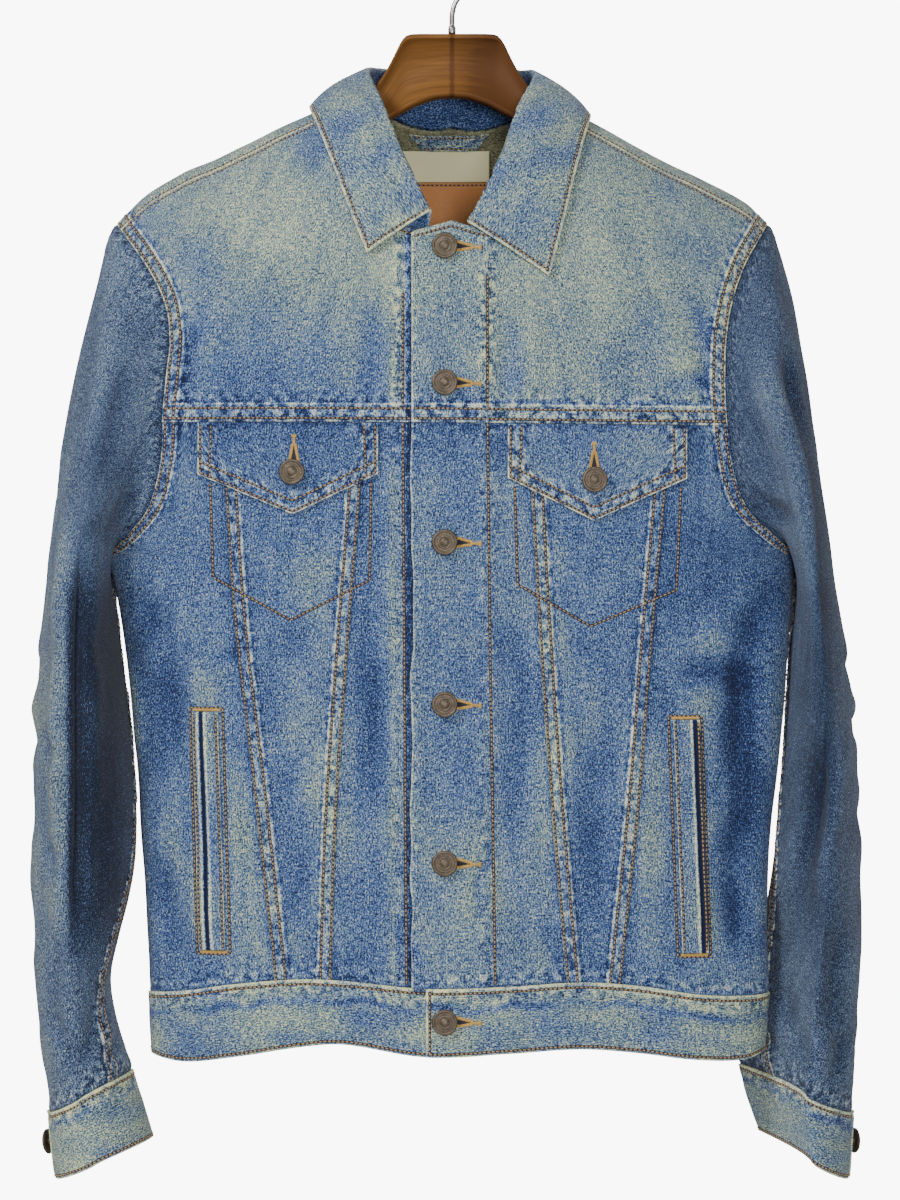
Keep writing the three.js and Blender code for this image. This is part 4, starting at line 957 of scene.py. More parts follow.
def make_mesh(name: str, points: Array, faces: list | Array, materials: tuple, slots: Array | None = None,
              cloth: Array | None = None, values: dict[str, Array] | None = None) -> bpy.types.Object:
    """Makes a smooth mesh object.

    Args:
        name: The object's name.
        points: Corners in metres.
        faces: Corner numbers of each face.
        materials: The object's materials.
        slots: Material number of each face.
        cloth: The grain's coordinates in metres at each corner.
        values: Named values at each corner.

    Returns:
        The object, linked to the scene.
    """
    mesh = bpy.data.meshes.new(name)
    mesh.from_pydata(points.tolist(), [], faces if isinstance(faces, list) else faces.tolist())
    for material in materials:
        mesh.materials.append(material)
    if slots is not None:
        mesh.polygons.foreach_set("material_index", slots)
    if cloth is not None:
        layer = mesh.uv_layers.new(name="cloth")
        corner = np.empty(len(mesh.loops), np.int32)
        mesh.loops.foreach_get("vertex_index", corner)
        layer.uv.foreach_set("vector", cloth[corner].astype(np.float32).reshape(-1))
    for label, value in (values or {}).items():
        mesh.attributes.new(label, "FLOAT", "POINT").data.foreach_set("value", value.astype(np.float32))
    mesh.shade_smooth()
    mesh.update()
    return put(name, mesh)


def put(name: str, data: bpy.types.ID) -> bpy.types.Object:
    """Adds an object to the scene."""
    item = bpy.data.objects.new(name, data)
    bpy.context.scene.collection.objects.link(item)
    return item


# Surfaces of the pieces, each over s and t from 0 to 1
def level_panel(top: Callable[[Array], Array], bottom: Callable[[Array], Array],
                xs: Callable[[Array, Array], Array], back: bool) -> Surface:
    """A panel of the body between two heights.

    Args:
        top: Height of the upper edge over x.
        bottom: Height of the lower edge over x.
        xs: The panel's x over s and height.
        back: Whether it lies on the back.

    Returns:
        The panel's surface.
    """
    def at(s: Array, t: Array) -> Array:
        """The panel's point."""
        s, t = np.asarray(s, float), np.asarray(t, float)
        guess = xs(s, mix(top(np.zeros_like(t)), bottom(np.zeros_like(t)), t))
        z = mix(top(guess), bottom(guess), t)
        return body_point(xs(s, z), z, np.full(z.shape, back))
    return at


def patch(top: Callable, bottom: Callable, near: Callable, far: Callable) -> Surface:
    """A patch between four boundary curves in x and fall."""
    corners = np.array([top(0.0), top(1.0), bottom(0.0), bottom(1.0)], float).T

    def at(s: Array, t: Array) -> Array:
        """The patch's point."""
        s, t = np.asarray(s, float), np.asarray(t, float)
        return fall_point(*(
            mix(near(t)[axis], far(t)[axis], s) + mix(top(s)[axis], bottom(s)[axis], t)
            - mix(mix(a, b, s), mix(c, d, s), t) for axis, (a, b, c, d) in enumerate(corners)))
    return at


def front_top(x: Array) -> Array:
    """Upper edge of the front panels."""
    return yoke_seam(x) - SEAM


def front_bottom(x: Array) -> Array:
    """Lower edge of the front panels."""
    return hem_top(x) + SEAM


def front_lift(side: str) -> Callable[[Array, Array, Array], Array]:
    """The left front edge lies over the right one."""
    def lift(s: Array, t: Array, points: Array) -> Array:
        """Height of the overlap."""
        over = (FACED + LAP) * smooth((FRONT_EDGE["right"] + 18 - points[..., 0]) / 16)
        return over if side == "left" else np.zeros_like(over)
    return lift


def facing_extra(side: str) -> Callable[[Array, Array, Array], Array]:
    """The turned-back facing thickens the cloth up to its stitch line."""
    def extra(s: Array, t: Array, points: Array) -> Array:
        """Added thickness."""
        return (FACED - CLOTH) * smooth((SIGN[side] * (FACING_EDGE[side] - points[..., 0]) + 1) / 2)
    return extra


def front_yoke_surface(side: str) -> Surface:
    """The front yoke. Its top edge runs across the facing, up the neckline and out along the shoulder."""
    sign, edge = SIGN[side], FRONT_EDGE[side]
    top_corner = sign * float(armhole_at[side](-FRONT_STRIP_FALL))
    seam_x = sign * (float(armhole(sign, -350.0)) - SEAM / 2)
    across_share = (edge - sign * NECK_FRONT[0]) / (edge - seam_x)
    neck_share = (edge - sign * NECK_X) / (edge - seam_x)

    def bottom_fall(x: Array) -> Array:
        """Fall of the chest seam."""
        return -fall_at(x, yoke_seam(x))

    def top(s: Array) -> tuple[Array, Array]:
        """The facing's top, the neckline and the shoulder seam."""
        s = np.asarray(s, float)
        angle = np.pi / 2 * clamp((s - across_share) / (neck_share - across_share))
        x_across = mix(edge, sign * NECK_FRONT[0], s / across_share)
        x_neck = sign * mix(NECK_FRONT[0], NECK_X, np.sin(angle))
        x_shoulder = mix(sign * NECK_X, top_corner, (s - neck_share) / (1 - neck_share))
        x = np.where(s < across_share, x_across, np.where(s > neck_share, x_shoulder, x_neck))
        return x, -mix(FRONT_STRIP_FALL, NECK_FRONT_FALL, np.cos(angle))

    def near(t: Array) -> tuple[Array, Array]:
        """The front edge."""
        return edge + 0 * t, mix(-NECK_FRONT_FALL, bottom_fall(np.array(edge)), t)

    def far(t: Array) -> tuple[Array, Array]:
        """The armhole."""
        fall = mix(-FRONT_STRIP_FALL, bottom_fall(np.array(seam_x)), t)
        return sign * armhole_at[side](fall), fall

    def bottom(s: Array) -> tuple[Array, Array]:
        """The chest seam."""
        x = mix(edge, seam_x, s)
        return x, bottom_fall(x)

    return patch(top, bottom, near, far)


def back_yoke_surface() -> Surface:
    """The back yoke, which wraps over both shoulders and is cut out for the neck."""
    neck_fall_back, share = float(fall_at(0.0, NECK_BACK_Z)), 0.32
    corners = {side: float(armhole_at[side](-STRIP_FALL)) for side in SIGN}

    def top(s: Array) -> tuple[Array, Array]:
        """Both shoulder seams and the neckline between them."""
        s = np.asarray(s, float)
        sign, out = np.where(s < 0.5, -1, 1), np.abs(s - 0.5) / 0.5
        along = (out - (1 - 2 * share)) / (2 * share)
        x_shoulder = mix(sign * NECK_X, sign * np.where(sign < 0, corners["right"], corners["left"]), along)
        angle = np.pi / 2 * (1 - out / (1 - 2 * share))
        x_neck, fall_neck = sign * NECK_X * np.cos(angle), mix(-STRIP_FALL, neck_fall_back, np.sin(angle))
        on_shoulder = out > 1 - 2 * share
        return np.where(on_shoulder, x_shoulder, x_neck), np.where(on_shoulder, -STRIP_FALL, fall_neck)

    def armhole_side(side: str) -> Callable[[Array], tuple[Array, Array]]:
        """One armhole edge of the yoke."""
        sign = SIGN[side]
        bottom_x = sign * (float(armhole(sign, BACK_YOKE_Z)) - SEAM / 2)

        def edge(t: Array) -> tuple[Array, Array]:
            """The edge's point."""
            fall = mix(-STRIP_FALL, float(fall_at(bottom_x, BACK_YOKE_Z)), t)
            return sign * armhole_at[side](fall), fall
        return edge

    right, left = armhole_side("right"), armhole_side("left")

    def bottom(s: Array) -> tuple[Array, Array]:
        """The back yoke seam."""
        x = mix(float(right(1.0)[0]), float(left(1.0)[0]), s)
        return x, fall_at(x, BACK_YOKE_Z)

    return patch(top, bottom, right, left)


def side_panel_surface(side: str, back: bool) -> Surface:
    """A side panel of the front or back, from its inner seam to the armhole and side."""
    sign = SIGN[side]

    def xs(s: Array, z: Array) -> Array:
        """The panel's x."""
        inside = (back_seam(z) if back else v_seam[side][1](z)) + SEAM / 2
        mark = np.full_like(z, sign)
        outside = np.where(z > ARMPIT_Z, armhole(mark, z) - SEAM / 2, half_width(mark, z))
        return row_x(sign * inside, sign * outside, s * 0.995, z)

    def top(x: Array) -> Array:
        """Upper edge."""
        return np.full_like(x, BACK_YOKE_Z - SEAM) if back else front_top(x)

    def bottom(x: Array) -> Array:
        """Lower edge."""
        return hem_top(np.sign(x) * HEM_SIDE) + SEAM if back else front_bottom(x)

    return level_panel(top, bottom, xs, back)


def waistband_surface() -> Surface:
    """The waistband: one strip that starts on top at the front edge, goes round and ends under itself."""
    def angle_at(x: float, front: bool) -> float:
        """Turn of the section at x."""
        turn = math.asin(min(1, (abs(x) / float(half_width(x, BAND_Z))) ** (SECTION_POWER / 2)))
        return math.copysign(turn if front else math.pi - turn, x)
    start, end = angle_at(FRONT_EDGE["left"] + 10, True), math.tau + angle_at(FRONT_EDGE["right"], True)

    def at(s: Array, t: Array) -> Array:
        """The strip's point."""
        turn = mix(start, end, np.asarray(s, float))
        sine, front = np.sin(turn), np.cos(turn) >= 0
        x0 = np.sign(sine) * np.abs(sine) ** (2 / SECTION_POWER)
        edge = np.where(front, half_width(sine, BAND_Z) * x0, np.sign(sine) * HEM_SIDE)
        z = mix(hem_top(edge) - SEAM, hem_bottom(edge), t)
        depth = np.where(front, -depth_front(z), depth_back(z)) * np.abs(np.cos(turn)) ** (2 / SECTION_POWER)
        return np.stack(np.broadcast_arrays(half_width(sine, z) * x0, centre_y(z) + depth, z), -1)
    return at


def armhole_loop(side: str, to_inner: Array, back: Array) -> Array:
    """The loop in which a sleeve's head lies, just outside the body."""
    sign = SIGN[side]
    z = mix(TIP_Z, ARMPIT_Z, to_inner)
    x = armhole(np.full_like(z, sign), z) * sign
    point, inward = body_point(x, z, back), body_point(x - sign * 2, z, back)
    lean = np.arctan2(np.abs(point[..., 1] - inward[..., 1]), 2)
    clear = np.where(back, 1.5, 1.0)
    step_y = CLOTH * np.cos(lean) * np.where(back, 1, -1) * drop_top(ridge(x) - z)
    return point + np.stack([sign * (CLOTH * np.sin(lean) + clear), step_y, np.zeros_like(z)], -1)


def sleeve_point(side: str, turn: Array, k: Array) -> Array:
    """A sleeve's point. turn is 0 at the outer edge, 90 in front, 180 at the inner edge and 270 behind."""
    turn, k = spread(turn, k)
    sign, angle = SIGN[side], np.radians(turn)
    to_inner, front, outside = (1 - np.cos(angle)) / 2, np.sin(angle) >= 0, np.cos(angle) >= 0
    out_z, in_z, mark = ring_out(k), ring_in(k), np.full(k.shape, sign)
    out_x, in_x, tuck = sleeve_outer(mark, out_z), sleeve_inner(mark, in_z), sleeve_tuck(mark, in_z)
    crease_x = mix(out_x, in_x, np.where(front, 0.46, 0.5))
    deep = np.where(front, -ring_front(k), ring_back(k))
    end_x, end_y = np.where(outside, out_x, in_x), np.where(outside, 0, tuck)
    soft = np.where(~outside & front, 1.15 + tuck / 50, 1.15)
    x = end_x + (crease_x - end_x) * (1 - np.abs(np.cos(angle)) ** soft)
    z = mix(out_z, in_z, to_inner)
    y = centre_y(z) + end_y + (deep - end_y) * np.abs(np.sin(angle)) ** soft
    fade = (clamp(1 - k / ARMHOLE_FADE) ** 2)[..., None]
    return mix(np.stack([sign * x, y, z], -1), armhole_loop(side, to_inner, ~front), fade)


def sleeve_surface(side: str, upper: bool) -> Surface:
    """One of a sleeve's two pieces, from the armhole to the cuff."""
    def at(s: Array, t: Array) -> Array:
        """The piece's point."""
        k = np.asarray(t, float) * (CUFF_RING - 0.01)
        under, over = seam_under(k), seam_over(k)
        start, end = (over - 360, under) if upper else (under, over)
        return sleeve_point(side, mix(start + 0.25, end - 0.25, s), k)
    return at


def cuff_surface(side: str) -> Surface:
    """A cuff, which laps over itself at the outer back."""
    def at(s: Array, t: Array) -> Array:
        """The cuff's point."""
        s, t = spread(s, t)
        return sleeve_point(side, mix(*CUFF_TURNS, s), mix(CUFF_RING + 0.01, HEM_RING, t))
    return at


def collar_surface() -> Surface:
    """The folded collar, from the neck seam up over its fold and down to its outer edge."""
    inset, above = 2.0, CLOTH + COLLAR_THICK / 2 + 2.5
    back_fall = float(fall_at(0.0, NECK_BACK_Z)) - inset
    reads = [(curve(COLLAR_RIGHT, c), curve(COLLAR_LEFT, c)) for c in range(1, 7)]

    def at(s: Array, t: Array) -> Array:
        """The collar's point."""
        s, v = np.broadcast_arrays(np.asarray(s, float) * 2 - 1, np.asarray(t, float))
        sign, a = np.where(s < 0, -1.0, 1.0), 1 - np.abs(s)
        fold_x, fold_y, fold_z, edge_x, edge_z, belly = (
            np.where(s < 0, right(a), left(a)) for right, left in reads)
        angle, wide, back = np.pi / 2 * np.abs(1 - 2 * a), NECK_X - inset, a > 0.5
        neck_x = np.where(back, wide * np.cos(angle), mix(NECK_FRONT[0], wide, np.cos(angle)))
        neck_fall = np.where(back, mix(-STRIP_FALL, back_fall, np.sin(angle)),
                             -mix(STRIP_FALL, NECK_FRONT_FALL - inset, np.sin(angle)))
        neck = fall_point(sign * neck_x, neck_fall)
        fold = np.stack([sign * fold_x, fold_y, fold_z], -1)
        fall = np.sign(a - COLLAR_RIDGE) * fall_at(sign * edge_x, edge_z)
        edge = fall_point(sign * edge_x, fall) + fall_normal(sign * edge_x, fall) * above
        out = unit(np.stack([sign * 0.5, (a - COLLAR_RIDGE) * 2.4, np.full_like(a, 0.35)], -1))
        middle = mix(fold, edge, 0.45) + out * (belly * 1.6)[..., None]
        low = clamp(v / COLLAR_STAND)[..., None]
        high = clamp((v - COLLAR_STAND) / (1 - COLLAR_STAND))[..., None]
        stand = mix(neck, fold, low) - out * 2 * low * (1 - low)
        leaf = fold * (1 - high) ** 2 + middle * 2 * high * (1 - high) + edge * high ** 2
        return np.where((v < COLLAR_STAND)[..., None], stand, leaf)

    def rounded(s: Array, t: Array) -> Array:
        """The collar's point, with the sharp fold eased into a roll."""
        t = np.asarray(t, float)
        ease = 0.035 * hump(t - COLLAR_STAND, 0.05)
        return (at(s, t - ease) + at(s, t) + at(s, t + ease)) / 3
    return rounded


def flap_surface(side: str) -> Surface:
    """A pocket flap below the chest seam, ending in a point."""
    cut = FLAPS[side]
    share = (cut.point_x - cut.in_x) / (cut.out_x - cut.in_x)

    def at(s: Array, t: Array) -> Array:
        """The flap's point."""
        s, t = spread(s, t)
        x = mix(cut.in_x, cut.out_x, s)
        low = np.where(s < share, mix(cut.corner, cut.point_z, s / share),
                       mix(cut.point_z, cut.corner, (s - share) / (1 - share)))
        return body_point(x, mix(yoke_seam(x) - 2 * SEAM, low, t), np.zeros(x.shape, bool))
    return at


def welt_surface(side: str) -> Surface:
    """The plate of a hand pocket's welt."""
    cut = WELTS[side]

    def at(s: Array, t: Array) -> Array:
        """The welt's point."""
        s, t = spread(s, t)
        x = mix(cut.top[0], cut.bottom[0], t) + (s - 0.5) * cut.width
        return body_point(x, mix(cut.top[1], cut.bottom[1], t), np.zeros(x.shape, bool))
    return at


def inner_strip_surface(x0: float, x1: float, top: float, bottom: float, taper: float) -> Surface:
    """A strip on the inside of the back yoke."""
    def at(s: Array, t: Array) -> Array:
        """The strip's point."""
        s, t = spread(s, t)
        x = mix(x0 + taper * t, x1 - taper * t, s)
        return body_point(x, mix(top, bottom, t), np.ones(s.shape, bool))
    return at


# Finishes
class Nodes:
    """Small helper that adds and joins shader nodes in one tree."""

    def __init__(self, tree: bpy.types.NodeTree) -> None:
        """Keeps the tree."""
        self.tree = tree

    def add(self, kind: str, **settings: object) -> bpy.types.Node:
        """Adds a node and sets its properties."""
        node = self.tree.nodes.new(kind)
        for name, value in settings.items():
            setattr(node, name, value)
        return node

    def fill(self, node: bpy.types.Node, values: dict[object, object]) -> None:
        """Links or sets inputs of a node, which are given by name or number."""
        for name, value in values.items():
            if isinstance(value, bpy.types.NodeSocket):
                self.tree.links.new(value, node.inputs[name])
            else:
                node.inputs[name].default_value = value

    def math(self, operation: str, *values: object, hold: bool = False) -> Socket:
        """Adds a maths node and returns its output."""
        node = self.add("ShaderNodeMath", operation=operation, use_clamp=hold)
        self.fill(node, dict(enumerate(values)))
        return node.outputs[0]

    def vector(self, operation: str, *values: object) -> Socket:
        """Adds a vector maths node and returns its vector, or its value for a dot product."""
        node = self.add("ShaderNodeVectorMath", operation=operation)
        self.fill(node, dict(enumerate(values)))
        return node.outputs["Value" if operation == "DOT_PRODUCT" else "Vector"]

    def noise(self, vector: object, scale: object, detail: float, rough: float) -> Socket:
        """Adds a noise texture and returns its value."""
        node = self.add("ShaderNodeTexNoise", noise_dimensions="3D")
        self.fill(node, {"Vector": vector, "Scale": scale, "Detail": detail, "Roughness": rough})
        return node.outputs["Fac"]

    def span(self, value: object, low: float, high: float, start: float = 0, end: float = 1) -> Socket:
        """Maps a range of a value to another one, held at both ends."""
        node = self.add("ShaderNodeMapRange")
        self.fill(node, {"Value": value, "From Min": low, "From Max": high, "To Min": start, "To Max": end})
        return node.outputs["Result"]

    def blend(self, factor: object, first: object, second: object, kind: str = "MIX") -> Socket:
        """Mixes two colours."""
        node = self.add("ShaderNodeMix", data_type="RGBA", blend_type=kind)
        place = {socket.identifier: number for number, socket in enumerate(node.inputs)}
        self.fill(node, {place["Factor_Float"]: factor, place["A_Color"]: first, place["B_Color"]: second})
        return next(socket for socket in node.outputs if socket.identifier == "Result_Color")


def new_group(name: str, inputs: dict[str, object], outputs: tuple[str, ...]) -> tuple:
    """Starts a shader node group.

    Args:
        name: The group's name.
        inputs: Value of each input: a number, a vector of three or a colour of four.
        outputs: Name of each output. The first is a colour, and the others are numbers.

    Returns:
        The group, its nodes helper, its input sockets and its output node.
    """
    group = bpy.data.node_groups.new(name, "ShaderNodeTree")
    for label, value in inputs.items():
        kind = {3: "Vector", 4: "Color"}[len(value)] if isinstance(value, tuple) else "Float"
        socket = group.interface.new_socket(label, in_out="INPUT", socket_type=f"NodeSocket{kind}")
        socket.default_value = value
    for number, label in enumerate(outputs):
        kind = "Float" if number else "Color"
        group.interface.new_socket(label, in_out="OUTPUT", socket_type=f"NodeSocket{kind}")
    nodes = Nodes(group)
    return group, nodes, nodes.add("NodeGroupInput").outputs, nodes.add("NodeGroupOutput")


def weave_group() -> bpy.types.NodeTree:
    """The effect that all denim shares: flecked warp-faced twill, faded and worn."""
    group, n, given, out = new_group(
        "denim_weave",
        {"Cloth": (0.0, 0.0, 0.0), "Fade": 0.4, "Wear": 0.0, "Edge": 0.0, "Fleck": 1.0,
         "Deep": (0.02, 0.04, 0.1, 1), "Blue": (0.08, 0.17, 0.35, 1), "Pale": (0.3, 0.4, 0.5, 1),
         "Straw": (0.3, 0.4, 0.3, 1), "Bare": (0.7, 0.72, 0.62, 1)},
        ("Color", "Height", "Roughness"))

    def pattern(size: tuple[float, float, float], detail: float, rough: float, reach: float) -> Socket:
        """An uneven pattern from -1 to 1 with cells of a size given per metre."""
        noise = n.noise(n.vector("MULTIPLY", given["Cloth"], size), 1, detail, rough)
        return n.span(noise, 0.5 - reach, 0.5 + reach, -1, 1)
    fleck = pattern((1050, 720, 1), 2, 0.8, 0.15)
    slub = pattern((1150, 230, 1), 2, 0.65, 0.16)
    weft = pattern((110, 900, 1), 2, 0.6, 0.2)
    cloud = pattern((38, 26, 1), 3, 0.65, 0.2)
    rope = pattern((190, 165, 1), 2, 0.6, 0.12)
    streak = pattern((150, 18, 1), 2, 0.6, 0.2)
    twill = n.math("SINE", n.vector("DOT_PRODUCT", given["Cloth"], (5200, 6600, 0)))

    def total(*terms: tuple[object, object]) -> Socket:
        """Adds up patterns, each times its amount."""
        result = n.math("MULTIPLY", *terms[0])
        for value, amount in terms[1:]:
            result = n.math("MULTIPLY_ADD", value, amount, result)
        return result
    flecks = total((fleck, 0.66), (slub, 0.36), (weft, 0.14), (twill, 0.08))
    tone = total((flecks, given["Fleck"]), (cloud, 0.09), (streak, 0.1), (given["Fade"], 1))
    tone = n.math("MULTIPLY_ADD", given["Wear"], total((rope, 0.6), (1.0, 0.06)), tone)
    tone = n.math("MULTIPLY_ADD", given["Edge"], n.span(rope, -1, 1, 0.55, 0.85), tone)
    color = given["Deep"]
    for label, span in (("Blue", (-0.2, 0.25)), ("Pale", (0.25, 0.6)), ("Straw", (0.6, 0.95)),
                        ("Bare", (0.95, 1.3))):
        color = n.blend(n.span(tone, *span), color, given[label])
    color = n.blend(n.span(given["Fade"], 0.36, 0.62), color, (1.2, 1.13, 0.76, 1), "MULTIPLY")
    height = total((twill, 0.15), (fleck, 0.3), (slub, 0.15))
    height = n.math("MULTIPLY_ADD", n.math("MULTIPLY", given["Wear"], 0.9), rope, height)
    rough = n.span(n.math("MULTIPLY_ADD", slub, 0.5, 0.5), 0, 1, 0.78, 0.94)
    n.fill(out, {"Color": color, "Height": height, "Roughness": rough})
    return group


def mottle_group() -> bpy.types.NodeTree:
    """The effect that metal, wood, paper and thread share: an uneven stain with a fine grain."""
    group, n, given, out = new_group(
        "uneven_stain",
        {"Cloth": (0.0, 0.0, 0.0), "Broad": 60.0, "Fine": 900.0, "Stretch": (1, 1, 1),
         "Light": (0.5, 0.5, 0.5, 1), "Dark": (0.2, 0.2, 0.2, 1), "Mask": 0.0},
        ("Color", "Height", "Grain"))
    place = n.vector("MULTIPLY", given["Cloth"], given["Stretch"])
    broad, grain = (n.span(n.noise(place, given[label], detail, 0.6), 0.3, 0.7)
                    for label, detail in (("Broad", 3), ("Fine", 4)))
    tone = n.math("ADD", n.math("MULTIPLY", broad, 0.55), n.math("MULTIPLY", grain, 0.45))
    tone = n.math("ADD", tone, given["Mask"], hold=True)
    n.fill(out, {"Color": n.blend(tone, given["Light"], given["Dark"]), "Height": grain, "Grain": grain})
    return group


def new_material(name: str) -> tuple[bpy.types.Material, Nodes, bpy.types.Node]:
    """Starts a material and returns it with its nodes helper and its shader."""
    material = bpy.data.materials.new(name)
    material.use_nodes = True
    nodes = Nodes(material.node_tree)
    shader = next(node for node in material.node_tree.nodes if node.type == "BSDF_PRINCIPLED")
    return material, nodes, shader


def effect_of(n: Nodes, effect: bpy.types.NodeTree, kept: dict[str, str], values: dict[str, object],
              bump: tuple[float, float], shader: bpy.types.Node) -> bpy.types.NodeOutputs:
    """Gives a shader the colour and bump of an effect.

    Args:
        n: The material's nodes helper.
        effect: The effect's group.
        kept: Names of the mesh's values for the effect's inputs.
        values: The effect's other inputs.
        bump: Strength and depth in metres of the bump.
        shader: The material's shader.

    Returns:
        The effect's outputs.
    """
    group, lit = n.add("ShaderNodeGroup", node_tree=effect), n.add("ShaderNodeBump")
    given = {"Cloth": n.add("ShaderNodeUVMap", uv_map="cloth").outputs["UV"], **values}
    for label, name in kept.items():
        node = n.add("ShaderNodeAttribute", attribute_name=name, attribute_type="GEOMETRY")
        given[label] = node.outputs["Fac"]
    n.fill(group, given)
    n.fill(lit, {"Strength": bump[0], "Distance": bump[1], "Height": group.outputs["Height"]})
    n.fill(shader, {"Base Color": group.outputs["Color"], "Normal": lit.outputs["Normal"]})
    return group.outputs


@dataclass(frozen=True)
class DenimFinish:
    """A denim face: its five tones from deep to bare, and how strongly it is flecked."""

    name: str
    deep: Color
    blue: Color
    pale: Color
    straw: Color
    bare: Color
    fleck: float = 1.0
    bump: float = 0.5
    depth: float = 0.0006

    def make(self, weave: bpy.types.NodeTree) -> bpy.types.Material:
        """Makes the material."""
        material, n, shader = new_material(self.name)
        labels = ("Deep", "Blue", "Pale", "Straw", "Bare")
        tones = (self.deep, self.blue, self.pale, self.straw, self.bare)
        tones = {label: (*tone, 1) for label, tone in zip(labels, tones)}
        kept = {"Fade": "fade", "Wear": "wear", "Edge": "edge"}
        found = effect_of(n, weave, kept, {"Fleck": self.fleck, **tones}, (self.bump, self.depth), shader)
        n.fill(shader, {"Roughness": found["Roughness"], "Specular IOR Level": 0.18, "Sheen Weight": 0.12,
                        "Sheen Roughness": 0.5})
        return material


@dataclass(frozen=True)
class StainedFinish:
    """A finish with an uneven stain and a fine grain: thread, wood, metal, leather or cotton."""

    name: str
    light: Color
    dark: Color
    broad: float
    fine: float
    stretch: Color = (1, 1, 1)
    roughness: tuple[float, float] = (0.6, 0.8)
    metallic: float = 0.0
    bump: float = 0.2
    depth: float = 0.0002
    shine: float = 0.5
    shaded: bool = False

    def make(self, stain: bpy.types.NodeTree) -> bpy.types.Material:
        """Makes the material."""
        material, n, shader = new_material(self.name)
        values = {"Broad": self.broad, "Fine": self.fine, "Stretch": self.stretch,
                  "Light": (*self.light, 1), "Dark": (*self.dark, 1)}
        kept = {"Mask": "wear"} if self.shaded else {}
        found = effect_of(n, stain, kept, values, (self.bump, self.depth), shader)
        n.fill(shader, {"Roughness": n.span(found["Grain"], 0, 1, *self.roughness), "Metallic": self.metallic,
                        "Specular IOR Level": self.shine})
        return material


DENIM_TONES = ((0.008, 0.013, 0.045), (0.04, 0.08, 0.255), (0.135, 0.235, 0.44), (0.29, 0.385, 0.42),
               (0.76, 0.8, 0.64))
SLEEVE_TONES = ((0.008, 0.012, 0.026), (0.052, 0.086, 0.19), (0.15, 0.23, 0.37), (0.28, 0.35, 0.36),
                (0.7, 0.73, 0.6))
FINISHES = (
    DenimFinish("denim", *DENIM_TONES),
    DenimFinish("denim_sleeve", *SLEEVE_TONES),
    DenimFinish("denim_wrong_side", (0.03, 0.035, 0.04), (0.08, 0.09, 0.09), (0.16, 0.17, 0.15),
                (0.24, 0.25, 0.21), (0.42, 0.42, 0.35), 0.8),
    StainedFinish("seam_thread", (0.58, 0.41, 0.23), (0.27, 0.14, 0.065), 55, 500),
    # Near-black painted shade for the strips along the stitch rows.
    StainedFinish("painted_stitch_shade", (0.03, 0.032, 0.05), (0.012, 0.012, 0.02), 160, 900, roughness=(0.85, 0.95)),
    StainedFinish("buttonhole_thread", (0.78, 0.52, 0.15), (0.52, 0.3, 0.07), 90, 900,
                  roughness=(0.55, 0.75)),
    StainedFinish("aged_brass", (0.2, 0.155, 0.11), (0.07, 0.055, 0.04), 260, 1500, roughness=(0.42, 0.6),
                  metallic=0.7, bump=0.25, shaded=True),
    StainedFinish("stained_wood", (0.27, 0.118, 0.026), (0.11, 0.042, 0.012), 28, 190, (0.16, 1, 1),
                  roughness=(0.62, 0.75), bump=0.12, shine=0.22, shaded=True),
    StainedFinish("hook_steel", (0.5, 0.49, 0.47), (0.36, 0.35, 0.34), 90, 1500,
                  roughness=(0.18, 0.3), metallic=1.0, bump=0.04),
    StainedFinish("label_cotton", (0.97, 0.93, 0.58), (0.9, 0.84, 0.5), 60, 1400, (1, 2, 1),
                  roughness=(0.8, 0.92), bump=0.3, shaded=True),
    StainedFinish("patch_leather", (0.72, 0.34, 0.1), (0.56, 0.22, 0.06), 70, 600,
                  roughness=(0.55, 0.75), bump=0.35, shaded=True),
)


# Stitches
@dataclass(frozen=True)
class StitchSize:
    """Pitch, length and thickness of a seam's stitches, in millimetres."""

    pitch: float = 3.1
    length: float = 2.6
    wide: float = 1.05
    tall: float = 0.6
    crosswise: bool = False


TOPSTITCH = StitchSize()
BUTTONHOLE = StitchSize(0.85, 2.7, 0.9, 0.85, True)
BAR_TACK = StitchSize(0.8, 2.6, 0.95, 0.7, True)


